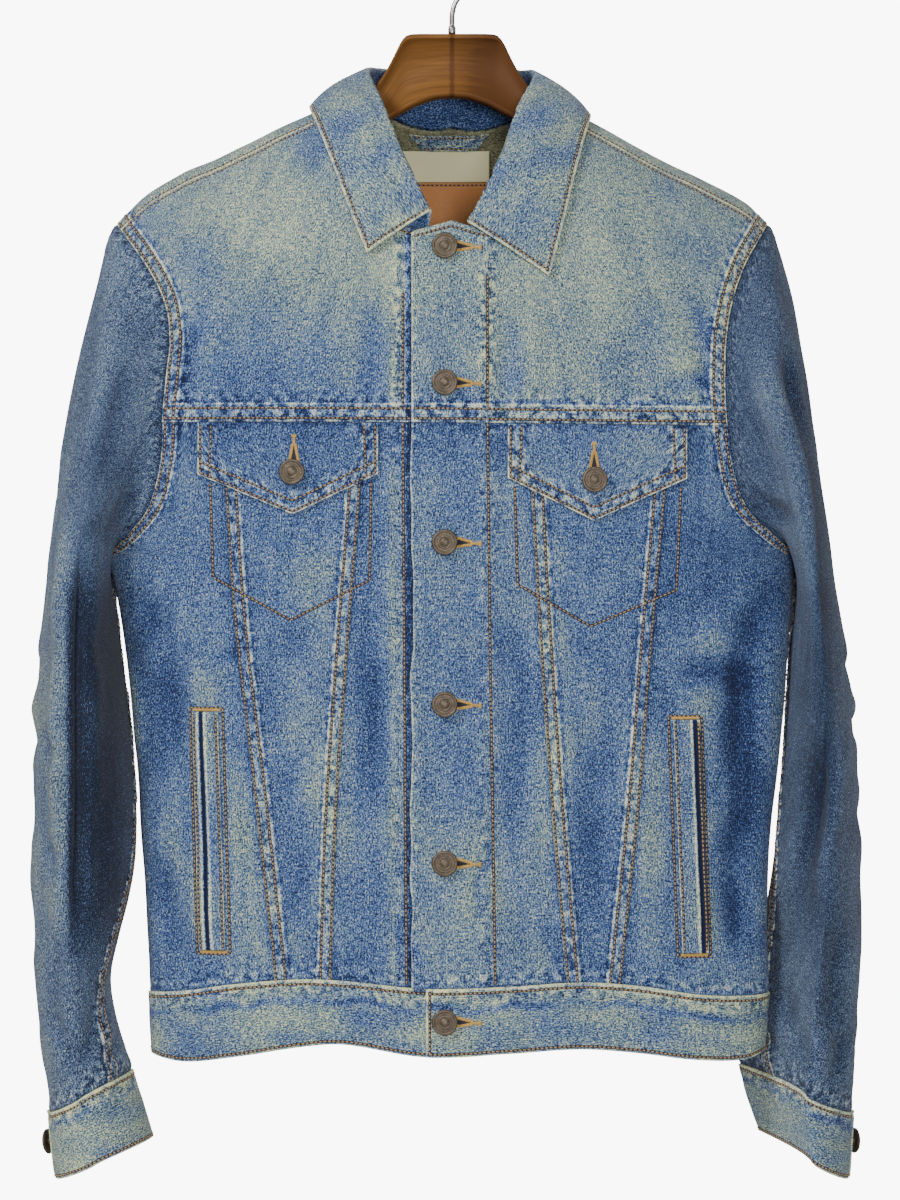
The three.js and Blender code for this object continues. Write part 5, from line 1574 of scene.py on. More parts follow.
@dataclass
class Thread:
    """Gathers stitches of one thread and lays them as one mesh of small rounded spindles."""

    name: str
    points: list[Array] = field(default_factory=list)
    shade_strips: list[Array] = field(default_factory=list)

    def dent(self, run: Array, facing: Array, wide: float = 2.3) -> None:
        """Lays a strip of painted shade along a row of stitches, as a low closed ridge: the shadow of the
        dent that the stitches pull into the cloth, with the darker dye pressed into it.
        """
        reach = cumulative(run, 0)
        marks = np.linspace(0, reach[-1], max(2, int(reach[-1] / 2.2)))
        centre, up = read_along(marks, reach, run), read_along(marks, reach, facing)
        side = unit(np.cross(np.gradient(centre, axis=0), up)) * wide / 2
        self.shade_strips.append(np.stack([centre - side - up * 0.15, centre - side * 0.7 + up * 0.14,
                                      centre + side * 0.7 + up * 0.14, centre + side - up * 0.15], 1))

    def make_shade_strips(self, material: bpy.types.Material) -> None:
        # Builds all strips of painted shade along this thread's stitch rows as one dark mesh.
        faces, start = [], 0
        for run in self.shade_strips:
            index = numbered(*run.shape[:2], start)
            faces += tube_faces(index, turned=True)
            start += index.size
        points = np.concatenate([run.reshape(-1, 3) for run in self.shade_strips]) * MM
        declare(make_mesh(f"{self.name}_stitch_shade_strips", points, faces, (material,), cloth=points[:, [0, 2]]), "denim")

    def sew(self, run: Array, facing: Array, size: StitchSize = TOPSTITCH) -> None:
        """Lays stitches along a run.

        Args:
            run: Points of the seam line in millimetres.
            facing: Outward directions there.
            size: The stitches' measures.
        """
        reach = cumulative(run, 0)
        count = int(reach[-1] // size.pitch)
        if count < 1:
            return
        middle = (np.arange(count) + 0.5) * reach[-1] / count
        half = 0.5 * (0.1 if size.crosswise else size.length)
        centre, up = read_along(middle, reach, run), unit(read_along(middle, reach, facing))
        along = unit(read_along(middle + half, reach, run) - read_along(middle - half, reach, run))
        side = unit(np.cross(along, up))
        if size.crosswise:
            along, side = side, -along
        wobble = wander(middle / 1.7, count)[:, None]
        reach_out = along * size.length / 2 * (1 + 0.06 * wobble) + side * 0.05 * wobble
        tips = [centre - reach_out - up * 0.12, centre + reach_out - up * 0.12]
        rings = []
        for share in (-0.55, 0.55):
            hub, across = centre + reach_out * share + up * size.tall * 0.35, side * size.wide / 2
            rings += [hub + across, hub + up * size.tall * 0.65, hub - across, hub - up * size.tall * 0.6]
        self.points.append(np.stack([tips[0], *rings, tips[1]], 1))

    def sew_runs(self, runs: list[tuple[Array, Array]], size: StitchSize = TOPSTITCH) -> None:
        """Lays stitches along several runs."""
        for run, facing in runs:
            self.sew(run, facing, size)
            # Each row of topstitching also gets its strip of painted shade.
            if not size.crosswise:
                self.dent(run, facing)

    def make(self, material: bpy.types.Material, slot: str) -> bpy.types.Object:
        """Args:
            material: The thread's finish.
            slot: Not used.

        Returns:
            The object.
        """
        points = np.concatenate(self.points) * MM
        turns = [(i, (i + 1) % 4) for i in range(4)]
        faces = [(0, 1 + i, 1 + j) for i, j in turns] + [(9, 5 + j, 5 + i) for i, j in turns]
        faces += [(1 + i, 5 + i, 5 + j) for i, j in turns] + [(1 + i, 5 + j, 1 + j) for i, j in turns]
        faces = (numbered(len(points), 1)[..., None] * 10 + np.array(faces)).reshape(-1, 3)
        cloth = points[..., [0, 2]].reshape(-1, 2)
        item = make_mesh(self.name, points.reshape(-1, 3), faces, (material,), cloth=cloth)
        declare(item, slot)
        return item


def declare(item: bpy.types.Object, slot: str, *nodes: str) -> None:
    """Hangs a piece on the root body and hides the solids of the nodes that it stands for."""
    if nodes:
        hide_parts(*nodes)
    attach(item, "root")


@dataclass
class Tracer:
    """Finds points on the outside of the sewn jacket, seen from the front."""

    panels: list[ClothPanel]

    def __post_init__(self) -> None:
        """Gathers the panels' outer faces."""
        corners, faces, start = [], [], 0
        for panel in self.panels:
            index = numbered(*panel.s.shape, start)
            faces.append(grid_faces(index)[:, ::-1])
            corners.append(panel.outer.reshape(-1, 3))
            start += index.size
        self.tree = BVHTree.FromPolygons(np.concatenate(corners).tolist(), np.concatenate(faces).tolist())

    def trace(self, path: list[tuple[float, float]], step: float = 1.2) -> list[tuple[Array, Array]]:
        """Lays a line, given in x and height, on the jacket's front.

        Args:
            path: Corners of the line.
            step: Distance between points.

        Returns:
            One run of points with outward directions, or none.
        """
        corners = np.array(path, float)
        reach = np.concatenate([[0], np.cumsum(np.hypot(*np.diff(corners, axis=0).T))])
        marks = np.linspace(0, reach[-1], max(2, int(reach[-1] / step) + 1))
        way = Vector((0, 1, 0))
        points, facing = [], []
        for x, z in zip(np.interp(marks, reach, corners[:, 0]), np.interp(marks, reach, corners[:, 1])):
            place, normal, _, _ = self.tree.ray_cast(Vector((x, TRACE_Y, z)), way)
            if place is not None:
                normal = normal if normal.dot(way) < 0 else -normal
                points.append(place)
                facing.append(normal)
        if len(points) < 2:
            return []
        return [(np.array(points), unit(smooth_rows(np.array(facing), 3)))]


def smooth_rows(values: Array, width: int) -> Array:
    """Averages each row with its neighbours."""
    padded = np.concatenate([values[:1]] * width + [values] + [values[-1:]] * width)
    return np.stack([padded[i:i + 2 * width + 1].mean(0) for i in range(len(values))])


# Hard parts
@dataclass
class TackButton:
    """A plain domed tack button with a rim and rings, of aged brass."""

    node: str
    point: Array
    outward: Array
    turns: int = 48

    PROFILE = ((0.0, 0.0), (3.2, 0.0), (3.4, 0.4), (3.4, 2.6), (3.9, 3.1), (6.6, 3.15), (8.1, 3.3),
               (8.75, 3.7), (9.0, 4.25), (8.86, 4.8), (8.35, 5.2), (7.75, 5.32), (7.3, 5.18), (7.0, 4.95),
               (6.6, 4.9), (6.2, 5.05), (5.75, 5.12), (5.35, 5.0), (5.0, 4.98), (4.6, 5.2), (4.1, 5.34),
               (3.7, 5.22), (3.35, 4.98), (3.0, 4.98), (2.5, 5.3), (1.9, 5.58), (1.2, 5.74), (0.6, 5.79),
               (0.0, 5.8))
    STAIN = ((0, 0.0), (2.4, 0.05), (3.2, 0.6), (4.2, 0.0), (5.2, 0.55), (5.8, 0.1), (6.8, 0.6), (7.8, 0.0),
             (8.7, 0.1), (9, 0.5))

    def make(self, material: bpy.types.Material) -> bpy.types.Object:
        """Builds the button on its place."""
        profile = np.array(self.PROFILE)
        turn = np.arange(self.turns) / self.turns * math.tau
        outward = unit(self.outward)
        side = unit(np.cross(outward, (0.0, 0.0, 1.0)))
        up = np.cross(side, outward)
        ring = np.cos(turn)[:, None] * side + np.sin(turn)[:, None] * up
        dent = 1 + 0.012 * np.sin(3 * turn + len(self.node)) + 0.008 * np.sin(7 * turn)
        around = profile[:, None, :1] * (ring * dent[:, None])[None]
        points = self.point + around + profile[:, None, 1:] * outward
        rows, columns = points.shape[:2]
        index = numbered(rows, columns)
        after = np.roll(index, -1, axis=1)
        faces = np.stack([index[:-1], after[:-1], after[1:], index[1:]], -1)[1:-1].reshape(-1, 4)
        caps = [np.stack([np.full(columns, index[0, 0]), after[1], index[1]], -1),
                np.stack([np.full(columns, index[-1, 0]), index[-2], after[-2]], -1)]
        hollow = np.interp(profile[:, 0], *np.array(self.STAIN).T)
        cloth = (points @ np.stack([side, up], -1)).reshape(-1, 2) * MM
        used = np.unique(np.concatenate([part.reshape(-1) for part in (faces, *caps)]))
        again = np.full(rows * columns, -1)
        again[used] = np.arange(len(used))
        everything = [again[face][::-1].tolist() for part in (faces, *caps) for face in part]
        wear = {"wear": 0.6 * np.repeat(hollow, columns)[used]}
        item = make_mesh(f"tack_{self.node}", points.reshape(-1, 3)[used] * MM, everything, (material,),
                         cloth=cloth[used], values=wear)
        declare(item, "button_metal", self.node)
        return item


@dataclass
class WoodHanger:
    """The hanger: a flat shaped block at the neck with two arms under the shoulders, and its wire hook."""

    half: float = 8.0
    corner: float = 3.6
    arm_gap: float = 3.2
    reach: float = 204.0
    wire: float = 3.8
    hook_radius: float = 21.0
    hook_grid: tuple[int, int] = (160, 20)

    SWELL = ((0, 1.25), (1, 1.45), (6, 1.45), (7, 1.25), (8, 1.0), (155, 1.0), (157.5, 0.85), (159, 0.3))

    def outline(self, sign: float) -> Array:
        """Rows of x, top and bottom from the middle out along one arm."""
        def arm_top(x: float) -> float:
            """Top of the arm under the cloth."""
            return float(ridge(np.array(sign * x))) - self.arm_gap
        rows = list(WOOD_BLOCK)
        rows += [(x, min(top, arm_top(x)), bottom)
                 for x, top, bottom in ((66.0, -123, -148), (76.0, -129, -153.5))]
        rows += [(x, arm_top(x), arm_top(x) - mix(26, 19, (x - 90) / 110))
                 for x in (92.0, 110.0, 130.0, 150.0, 170.0, 188.0, 198.0)]
        rows.append((self.reach, arm_top(self.reach) - 4, arm_top(self.reach) - 15))
        at, top, bottom = np.array(rows, float).T
        x = np.unique(np.concatenate([np.arange(0, 200, 2.5), [200, 201.5, 202.8, 203.6, self.reach]]))
        return np.stack([x, np.interp(x, at, top), np.interp(x, at, bottom)], -1)

    def make_wood(self, material: bpy.types.Material) -> bpy.types.Object:
        """Builds the wooden body."""
        right, left = self.outline(-1), self.outline(1)
        rows = np.concatenate([right[:0:-1] * (-1, 1, 1), left])
        rows[:, 1:] = smooth_rows(rows[:, 1:], 1)
        quarter = np.linspace(0, np.pi / 2, 7)
        points = []
        for x, top, bottom in rows:
            close = smooth((205 - abs(x)) / 7) * 0.35 + 0.65
            half, tall, middle = self.half * close, (top - bottom) / 2, (top + bottom) / 2
            r = min(self.corner, half * 0.9, tall * 0.9)
            loop = []
            for turn, (su, sv) in enumerate(((-1, 1), (1, 1), (1, -1), (-1, -1))):
                angle = quarter if turn % 2 else quarter[::-1]
                loop += [(x, su * (half - r + r * math.cos(a)), middle + sv * (tall - r + r * math.sin(a)))
                         for a in angle]
            points.append(loop)
        points = np.array(points)
        faces = tube_faces(numbered(*points.shape[:2]))
        cloth = np.stack([points[..., 0], cumulative(points, 1)], -1).reshape(-1, 2) * MM
        # Darker along the middle line and over the arm at positive x.
        stain = hump(points[..., 0], 0.7) * 0.7 + 0.65 * smooth((points[..., 0] + 6) / 40)
        item = make_mesh("wood_body", points.reshape(-1, 3) * MM, faces, (material,), cloth=cloth,
                         values={"wear": stain.reshape(-1)})
        declare(item, "hanger_wood", "hanger_wood")
        return item

    def make_hook(self, material: bpy.types.Material) -> bpy.types.Object:
        """Builds the wire hook with the rail's seat at the origin."""
        radius, centre = self.hook_radius + self.wire / 2, -self.hook_radius
        circle = [(radius * math.cos(math.radians(a)), centre + radius * math.sin(math.radians(a)))
                  for a in (-58, -40, -20, 0, 25, 50, 75, 100, 125, 150, 175, 200)]
        route = np.array([(0, WOOD_TOP + SEAM), (0, WOOD_TOP + 8), (0.3, -60), (3, -51.5)] + circle)
        rings, around = self.hook_grid
        mark = np.linspace(0, len(route) - 1, rings)
        line = np.stack([curve(tuple(enumerate(values)))(mark) for values in route.T], -1)
        way = unit(np.gradient(line, axis=0))
        turn = np.arange(around) / around * math.tau
        swell = np.interp(np.arange(rings), *np.array(self.SWELL).T)
        half = (self.wire / 2 * swell)[:, None]
        x = line[:, :1] + half * np.cos(turn) * -way[:, 1:]
        z = line[:, 1:] + half * np.cos(turn) * way[:, :1]
        points = np.stack([x, half * np.sin(turn), z], -1)
        faces = tube_faces(numbered(rings, around))
        cloth = np.stack([np.broadcast_to(turn * 2, (rings, around)), cumulative(points, 0)], -1)
        item = make_mesh("wire_hook", points.reshape(-1, 3) * MM, faces, (material,),
                         cloth=cloth.reshape(-1, 2) * MM)
        declare(item, "hook_steel", "hanger_hook")
        return item


# The jacket's sub-assemblies
YOKE_HEM = EdgeWork(lines=(2.6, 9.6), band=12.6, rise=0.6, pucker=0.6, reach=18, pitch=8.5, pale=0.75)
ARMHOLE_EDGE = EdgeWork(lines=(2.2, 8.4), band=10.5, rise=0.3, pucker=0.5, reach=14, pale=0.85, calm=16)
FELLED = EdgeWork(lines=(1.3, 7.8), band=9.8, rise=0.9, pucker=0.45, reach=7, pitch=7.5, pale=0.25)
# The dark values below paint shade on the cloth beside a felled band, under the yoke's edge and above the
# waistband.
QUIET = EdgeWork(pucker=0.15, reach=10, pale=0.0, dark=0.14, tuck=(3.0, 1.9))
UNDER_YOKE = EdgeWork(pucker=0.35, reach=22, pitch=9, pale=0.0, dark=0.2, tuck=(4.0, 1.9))
ON_WAISTBAND = EdgeWork(pucker=0.7, reach=20, pitch=11, pale=0.0, dark=0.06, tuck=(4.0, 2.2))
BETWEEN = {Side.TOP: UNDER_YOKE, Side.BOTTOM: ON_WAISTBAND}


def tone_front(points: Array) -> Array:
    """The body is a deeper blue towards the sides, and darker in a band at the height just below the chest
    seam, painted shade under the front yoke's edge.
    """
    x, z = points[..., 0], points[..., 2]
    return -0.03 * smooth((np.abs(x) - 150) / 60) - 0.1 * hump(z + 360, 14)


def band_streaks(points: Array) -> Array:
    """Uneven level streaks of the waistband and cuffs."""
    x, z = points[..., 0], points[..., 2]
    return 0.1 * drift(x * 0.25, z, 61, 9) + 0.07 * drift(x, z * 1.5, 62, 16)


def paint_crease_shade(panel: ClothPanel, down: float) -> ClothPanel:
    """Paints a wavy line of shade where a crease would run along a band below its stitching; the crease
    itself is not modelled.
    """
    along = panel.from_near
    away = panel.from_top - down - 3.5 * wander(along / 15, 3)
    panel.fade = panel.fade - (0.26 + 0.2 * wander(along / 33, 4)) * hump(away, 2.2)
    return panel


def facing_ropes(side: str) -> Callable[[Array], Array]:
    """Puckers on both sides of the facing's stitch line."""
    def ropes(points: Array) -> Array:
        """Strength of the puckers."""
        away = np.abs(points[..., 0] - FACING_EDGE[side])
        low = 0.45 + 0.4 * smooth((points[..., 2] + 350) / 10)
        return low * hump(away - 3.2, 3.4)
    return ropes


def overlap_shadow_and_wear(points: Array) -> Array:
    """Painted shadow: the lower front is darkened beside the edge that lies over it, with a pale worn line 8
    mm further out.
    """
    x = points[..., 0]
    return -0.6 * smooth((x + 33) / 1.6) + 0.16 * hump(x + 41, 2.5)


@dataclass
class Body:
    """The yokes, fronts, backs and waistband."""

    panels: list[ClothPanel] = field(default_factory=list)

    def cut(self) -> list[ClothPanel]:
        """Cuts every panel of the body."""
        for side, sign in SIGN.items():
            self.panels += [
                self.front_yoke(side, sign), self.front_centre(side, sign), self.front_v(side, sign),
                self.side_panel(side, sign, False), self.side_panel(side, sign, True)]
        self.panels += [self.back_yoke(), self.back_centre(), self.waistband()]
        return self.panels

    def front_edge(self, side: str) -> EdgeWork:
        """The front edge: folded, wavy and worn pale."""
        return EdgeWork(pucker=0.5, reach=9, pitch=17, lean=0.2, pale=1.1 if side == "left" else 0.5)

    def front_yoke(self, side: str, sign: float) -> ClothPanel:
        """A front yoke."""
        return ClothPanel(
            f"front_yoke_{side}", front_yoke_surface(side), int(sign), Part.BODY,
            {Side.BOTTOM: YOKE_HEM, Side.FAR: ARMHOLE_EDGE, Side.NEAR: self.front_edge(side),
             Side.TOP: EdgeWork(lines=(2.0,), pucker=0.2, reach=10, pale=0.3, tuck=(3.0, 1.8))},
            lift=front_lift(side), extra=facing_extra(side), tone=0.44, ropes=facing_ropes(side),
            tint=overlap_shadow_and_wear if side == "right" else None, rests_on=("cloth_back_yoke", "wood_body"))

    def front_centre(self, side: str, sign: float) -> ClothPanel:
        """A front's centre panel, from the front edge to the first V seam."""
        def xs(s: Array, z: Array) -> Array:
            """The panel's x."""
            wave = 1.5 * wander(z / 23, 8) * smooth((-356 - z) / 30) * smooth((z + 735) / 30)
            return mix(FRONT_EDGE[side] + wave, sign * (v_seam[side][0](z) - SEAM / 2), s)
        return ClothPanel(
            f"front_centre_{side}", level_panel(front_top, front_bottom, xs, False), int(sign), Part.BODY,
            {Side.NEAR: self.front_edge(side), Side.FAR: QUIET, **BETWEEN},
            lift=front_lift(side), extra=facing_extra(side), tone=0.34,
            tint=lambda points: tone_front(points) + (overlap_shadow_and_wear(points) if side == "right" else 0),
            ropes=facing_ropes(side), rests_on=(f"cloth_front_yoke_{side}",))

    def front_v(self, side: str, sign: float) -> ClothPanel:
        """The narrow V panel with a felled seam at both edges."""
        def xs(s: Array, z: Array) -> Array:
            """The panel's x."""
            return sign * mix(v_seam[side][0](z) + SEAM / 2, v_seam[side][1](z) - SEAM / 2, s)
        return ClothPanel(
            f"front_v_{side}", level_panel(front_top, front_bottom, xs, False), int(sign), Part.BODY,
            {Side.NEAR: FELLED, Side.FAR: FELLED, **BETWEEN},
            tone=0.34, tint=tone_front, roll=0.35, rests_on=(f"cloth_front_yoke_{side}",))

    def side_panel(self, side: str, sign: float, back: bool) -> ClothPanel:
        """A side panel of the front or back."""
        armhole_work = replace(ARMHOLE_EDGE, span=(ARMPIT_Z, 0), tuck=(2.5, 1.7) if back else (0, 0))
        name = "back" if back else "front"
        return ClothPanel(
            f"{name}_side_{side}", side_panel_surface(side, back), int(-sign if back else sign), Part.BODY,
            {Side.NEAR: QUIET, Side.FAR: armhole_work, **BETWEEN},
            tone=0.33 if side == "right" else 0.29, tint=tone_front, roll=0.35,
            rests_on=("cloth_back_yoke" if back else f"cloth_front_yoke_{side}",))

    def back_yoke(self) -> ClothPanel:
        """The back yoke over both shoulders."""
        return ClothPanel(
            "back_yoke", back_yoke_surface(), -1, Part.BODY,
            {Side.BOTTOM: YOKE_HEM, Side.NEAR: ARMHOLE_EDGE, Side.FAR: ARMHOLE_EDGE,
             Side.TOP: EdgeWork(lines=(2.0,), pucker=0.2, reach=9, pale=0.7)},
            tone=0.56, rests_on=("wood_body",))

    def back_centre(self) -> ClothPanel:
        """The back's centre panel, with a felled seam at both edges."""
        def xs(s: Array, z: Array) -> Array:
            """The panel's x."""
            return mix(-back_seam(z) + SEAM / 2, back_seam(z) - SEAM / 2, s)
        surface = level_panel(lambda x: np.full_like(x, BACK_YOKE_Z - SEAM),
                              lambda x: np.full_like(x, float(hem_top(HEM_SIDE)) + SEAM), xs, True)
        return ClothPanel(
            "back_centre", surface, -1, Part.BODY,
            {Side.NEAR: FELLED, Side.FAR: FELLED, **BETWEEN},
            tone=0.36, tint=tone_front, roll=0.35, rests_on=("cloth_back_yoke",))

    def waistband(self) -> ClothPanel:
        """The waistband round the hem."""
        def lift(s: Array, t: Array, points: Array) -> Array:
            """The start lies over the end."""
            return (BAND_THICK + LAP) * smooth((0.42 - s * math.tau) / 0.28)
        panel = ClothPanel(
            "waistband", waistband_surface(), 1, Part.BODY,
            {Side.TOP: EdgeWork(lines=(3.4,), pucker=0.75, reach=24, pitch=11, lean=0.9, pale=1.25, wide=1.9),
             Side.BOTTOM: EdgeWork(lines=(2.4,), pucker=0.4, reach=12, pitch=9, pale=0.8),
             Side.NEAR: EdgeWork(lines=(2.6,), pucker=0.1, pale=1.2, wide=1.5),
             Side.FAR: EdgeWork(pucker=0.2)},
            (2.8, 2.4), thick=BAND_THICK, lift=lift, tone=0.53, tint=band_streaks, warp_down=False,
            rests_on=("cloth_front_centre_left", "cloth_front_centre_right", "cloth_back_centre"))
        return paint_crease_shade(panel, 15)


@dataclass
class Sleeves:
    """Both sleeves with their cuffs."""

    panels: list[ClothPanel] = field(default_factory=list)

    def cut(self) -> list[ClothPanel]:
        """Cuts every piece of both sleeves."""
        for side, sign in SIGN.items():
            self.panels += [self.piece(side, sign, upper) for upper in (True, False)]
            self.panels.append(self.cuff(side, sign))
        return self.panels

    def piece(self, side: str, sign: float, upper: bool) -> ClothPanel:
        """The upper or under piece of a sleeve."""
        # The dark values paint shade on the sleeve just below the armhole seam and just above the cuff.
        head = EdgeWork(pucker=0.5, reach=22, pitch=9, pale=0.0, dark=0.2, calm=16, tuck=(4.5, 3.3))
        at_cuff = EdgeWork(pucker=0.8, reach=26, pitch=10, pale=0.0, dark=0.1, calm=12, tuck=(4.0, 2.0))
        seam = EdgeWork(pucker=0.2, reach=10, pale=0.2)
        if upper:
            seam = EdgeWork(lines=(1.6, 7.6), band=9.6, rise=0.8, pucker=0.8, reach=8, pale=0.7)

        def tint(points: Array) -> Array:
            """Both sleeves are a little paler towards their outer edge; the right sleeve is darkened with
            painted shadow beside its long ridge, and the left one with painted shade in its valley.
            """
            x, z = points[..., 0], points[..., 2]
            outer = 0.09 * smooth((np.abs(x) - 272) / 12)
            middle = smooth((-440 - z) / 60) * smooth((z + 745) / 70) * smooth((30 - points[..., 1]) / 20)
            # Painted shadow beside the right sleeve's ridge, painted shade in the left sleeve's valley.
            if side == "right":
                return outer - 0.46 * middle * smooth((x + 266) / 2.5) * smooth((-216 - x) / 20)
            return outer - 0.12 * middle * smooth((x - 236) / 12) * smooth((268 - x) / 10)
        return ClothPanel(
            f"sleeve_{'upper' if upper else 'under'}_{side}", sleeve_surface(side, upper), int(-sign),
            Part(f"sleeve_{side}"), {Side.TOP: head, Side.BOTTOM: at_cuff, Side.NEAR: QUIET, Side.FAR: seam},
            (3.0, 3.0), base=-CLOTH, tone=0.25 if side == "right" else 0.16, tint=tint, roll=0.35,
            rests_on=(f"cloth_front_yoke_{side}", "cloth_back_yoke"))

    def cuff(self, side: str, sign: float) -> ClothPanel:
        """A cuff, lapped at the outer back."""
        def lift(s: Array, t: Array, points: Array) -> Array:
            """The end lies over the start."""
            return (BAND_THICK + LAP) * smooth((s - 0.86) / 0.1)
        panel = ClothPanel(
            f"cuff_{side}", cuff_surface(side), int(-sign), Part.NONE,
            {Side.TOP: EdgeWork(lines=(3.2,), pucker=0.75, reach=26, pitch=10, lean=0.9, pale=1.25, wide=1.9),
             Side.BOTTOM: EdgeWork(lines=(2.4,), pucker=0.45, reach=10, pitch=9, pale=1.0),
             Side.NEAR: EdgeWork(), Side.FAR: EdgeWork(lines=(2.0,), pucker=0.2, pale=0.9)},
            (2.8, 2.4), thick=BAND_THICK, base=-CLOTH, lift=lift, tone=0.66 if side == "right" else 0.56,
            tint=band_streaks, warp_down=False,
            rests_on=(f"cloth_sleeve_upper_{side}", f"cloth_sleeve_under_{side}"))
        return paint_crease_shade(panel, 11)


@dataclass
class Trims:
    """The collar, pocket flaps, welts, hang loop and labels."""

    panels: list[ClothPanel] = field(default_factory=list)

    def cut(self) -> list[ClothPanel]:
        """Cuts every trim."""
        self.panels.append(self.collar())
        for side, sign in SIGN.items():
            self.panels += [self.flap(side, sign), self.welt(side)]
        self.panels += [self.strip("hang_loop", -31, 27, -140.5, -151.5, 0.9, 2.0, 3.2, "denim"),
                        self.strip("neck_label", -38, 27, -152.2, -174, 0.9, 1.8, 0, "label_cotton"),
                        self.strip("neck_patch", -33, 27, -174.4, -208, 0.9, 2.0, 0, "patch_leather")]
        return self.panels

    def collar(self) -> ClothPanel:
        """The folded collar."""
        leaf_edge = EdgeWork(lines=(3.2,), pucker=0.4, reach=12, pitch=8, pale=1.3, wide=1.7)

        def tint(points: Array) -> Array:
            """The leaf's cloth is unevenly faded."""
            return 0.1 * drift(points[..., 0], points[..., 2], 77, 16)
        panel = ClothPanel(
            "collar", collar_surface(), -1, Part.NONE,
            {Side.BOTTOM: leaf_edge, Side.NEAR: leaf_edge, Side.FAR: leaf_edge}, (2.6, 2.6),
            thick=COLLAR_THICK, base=-COLLAR_THICK / 2, tone=0.54, tint=tint, warp_down=False, both=0.3,
            roll=1.1, rests_on=("cloth_back_yoke", "cloth_front_yoke_right", "cloth_front_yoke_left"))
        fold = hump(panel.t - 0.31, 0.03)
        stand = smooth((0.29 - panel.t) / 0.05)
        panel.fade = panel.fade - 0.42 * stand + 0.1 * fold * (0.6 + wander(panel.from_near / 7, 5))
        panel.wear = panel.wear * (1 - stand)
        return panel

    def flap(self, side: str, sign: float) -> ClothPanel:
        """A pocket flap."""
        sewn = EdgeWork(lines=(2.1, 9.6), band=10.6, pucker=0.6, reach=12, pitch=7, pale=1.25, wide=1.3)
        return ClothPanel(
            f"flap_{side}", flap_surface(side), int(sign), Part.BODY,
            {Side.NEAR: sewn, Side.FAR: sewn, Side.BOTTOM: sewn,
             # The flap's top edge gets painted shade along the chest seam above it.
             Side.TOP: EdgeWork(pucker=0.3, reach=12, pale=0, dark=0.25)}, (2.2, 2.2),
            thick=FLAP_THICK, base=FACED + LAP, tone=0.36 if side == "right" else 0.42, both=0.1, roll=0.8,
            rests_on=(f"cloth_front_v_{side}", f"cloth_front_centre_{side}", f"cloth_front_side_{side}"))

    def welt(self, side: str) -> ClothPanel:
        """A hand pocket's welt with its closed opening."""
        cut = WELTS[side]

        def from_slit(s: Array) -> Array:
            """Distance across the welt from its opening."""
            return (s - 0.5) * cut.width - cut.slit

        def extra(s: Array, t: Array, points: Array) -> Array:
            """The opening is a groove between two rolled lips."""
            away, ends = from_slit(s), smooth((t - 0.04) / 0.02) * smooth((0.96 - t) / 0.02)
            return (-1.1 * hump(away, 1.0, 4) + 0.55 * hump(np.abs(away) - 2.4, 1.2)) * ends
        work = EdgeWork(lines=(1.4,), pucker=0.2, reach=3, pitch=7, pale=0.8)
        panel = ClothPanel(
            f"welt_{side}", welt_surface(side), 1, Part.BODY, {Side.NEAR: work, Side.FAR: work}, (0.6, 2.6),
            thick=2.0, base=CLOTH + LAP, extra=extra, tone=0.36, both=0.0, roll=0.7,
            rests_on=(f"cloth_front_side_{side}",))
        away = from_slit(panel.s)
        # Painted shade deep in the opening's groove.
        panel.fade = panel.fade - 2.2 * hump(away, 1.15, 4)
        panel.worn_edge = panel.worn_edge + 1.1 * hump(np.abs(away) - 2.6, 0.8)
        return panel

    def strip(self, node: str, x0: float, x1: float, top: float, bottom: float, near: float, far: float,
              stand_off: float, slot: str) -> ClothPanel:
        """A label, patch or loop on the inside of the back yoke."""
        def lift(s: Array, t: Array, points: Array) -> Array:
            """The middle of a loop stands off."""
            return stand_off * smooth((0.5 - np.abs(s - 0.5)) / 0.2)
        work = EdgeWork(lines=() if slot == "label_cotton" else (1.7,), pale=0.3)
        return ClothPanel(
            node, inner_strip_surface(x0, x1, top, bottom, 9.0 if slot == "denim" else 0.0), 1, Part.NONE,
            {side: work for side in ((Side.TOP, Side.BOTTOM) if slot == "denim" else Side)}, (2.0, 1.6),
            thick=far - near, base=near, lift=lift, tone=0.5,
            ropes=lambda points: np.full(points.shape[:-1], 0.55), warp_down=slot != "denim", both=0.0,
            roll=0.5, slot=slot, rests_on=("cloth_back_yoke",))


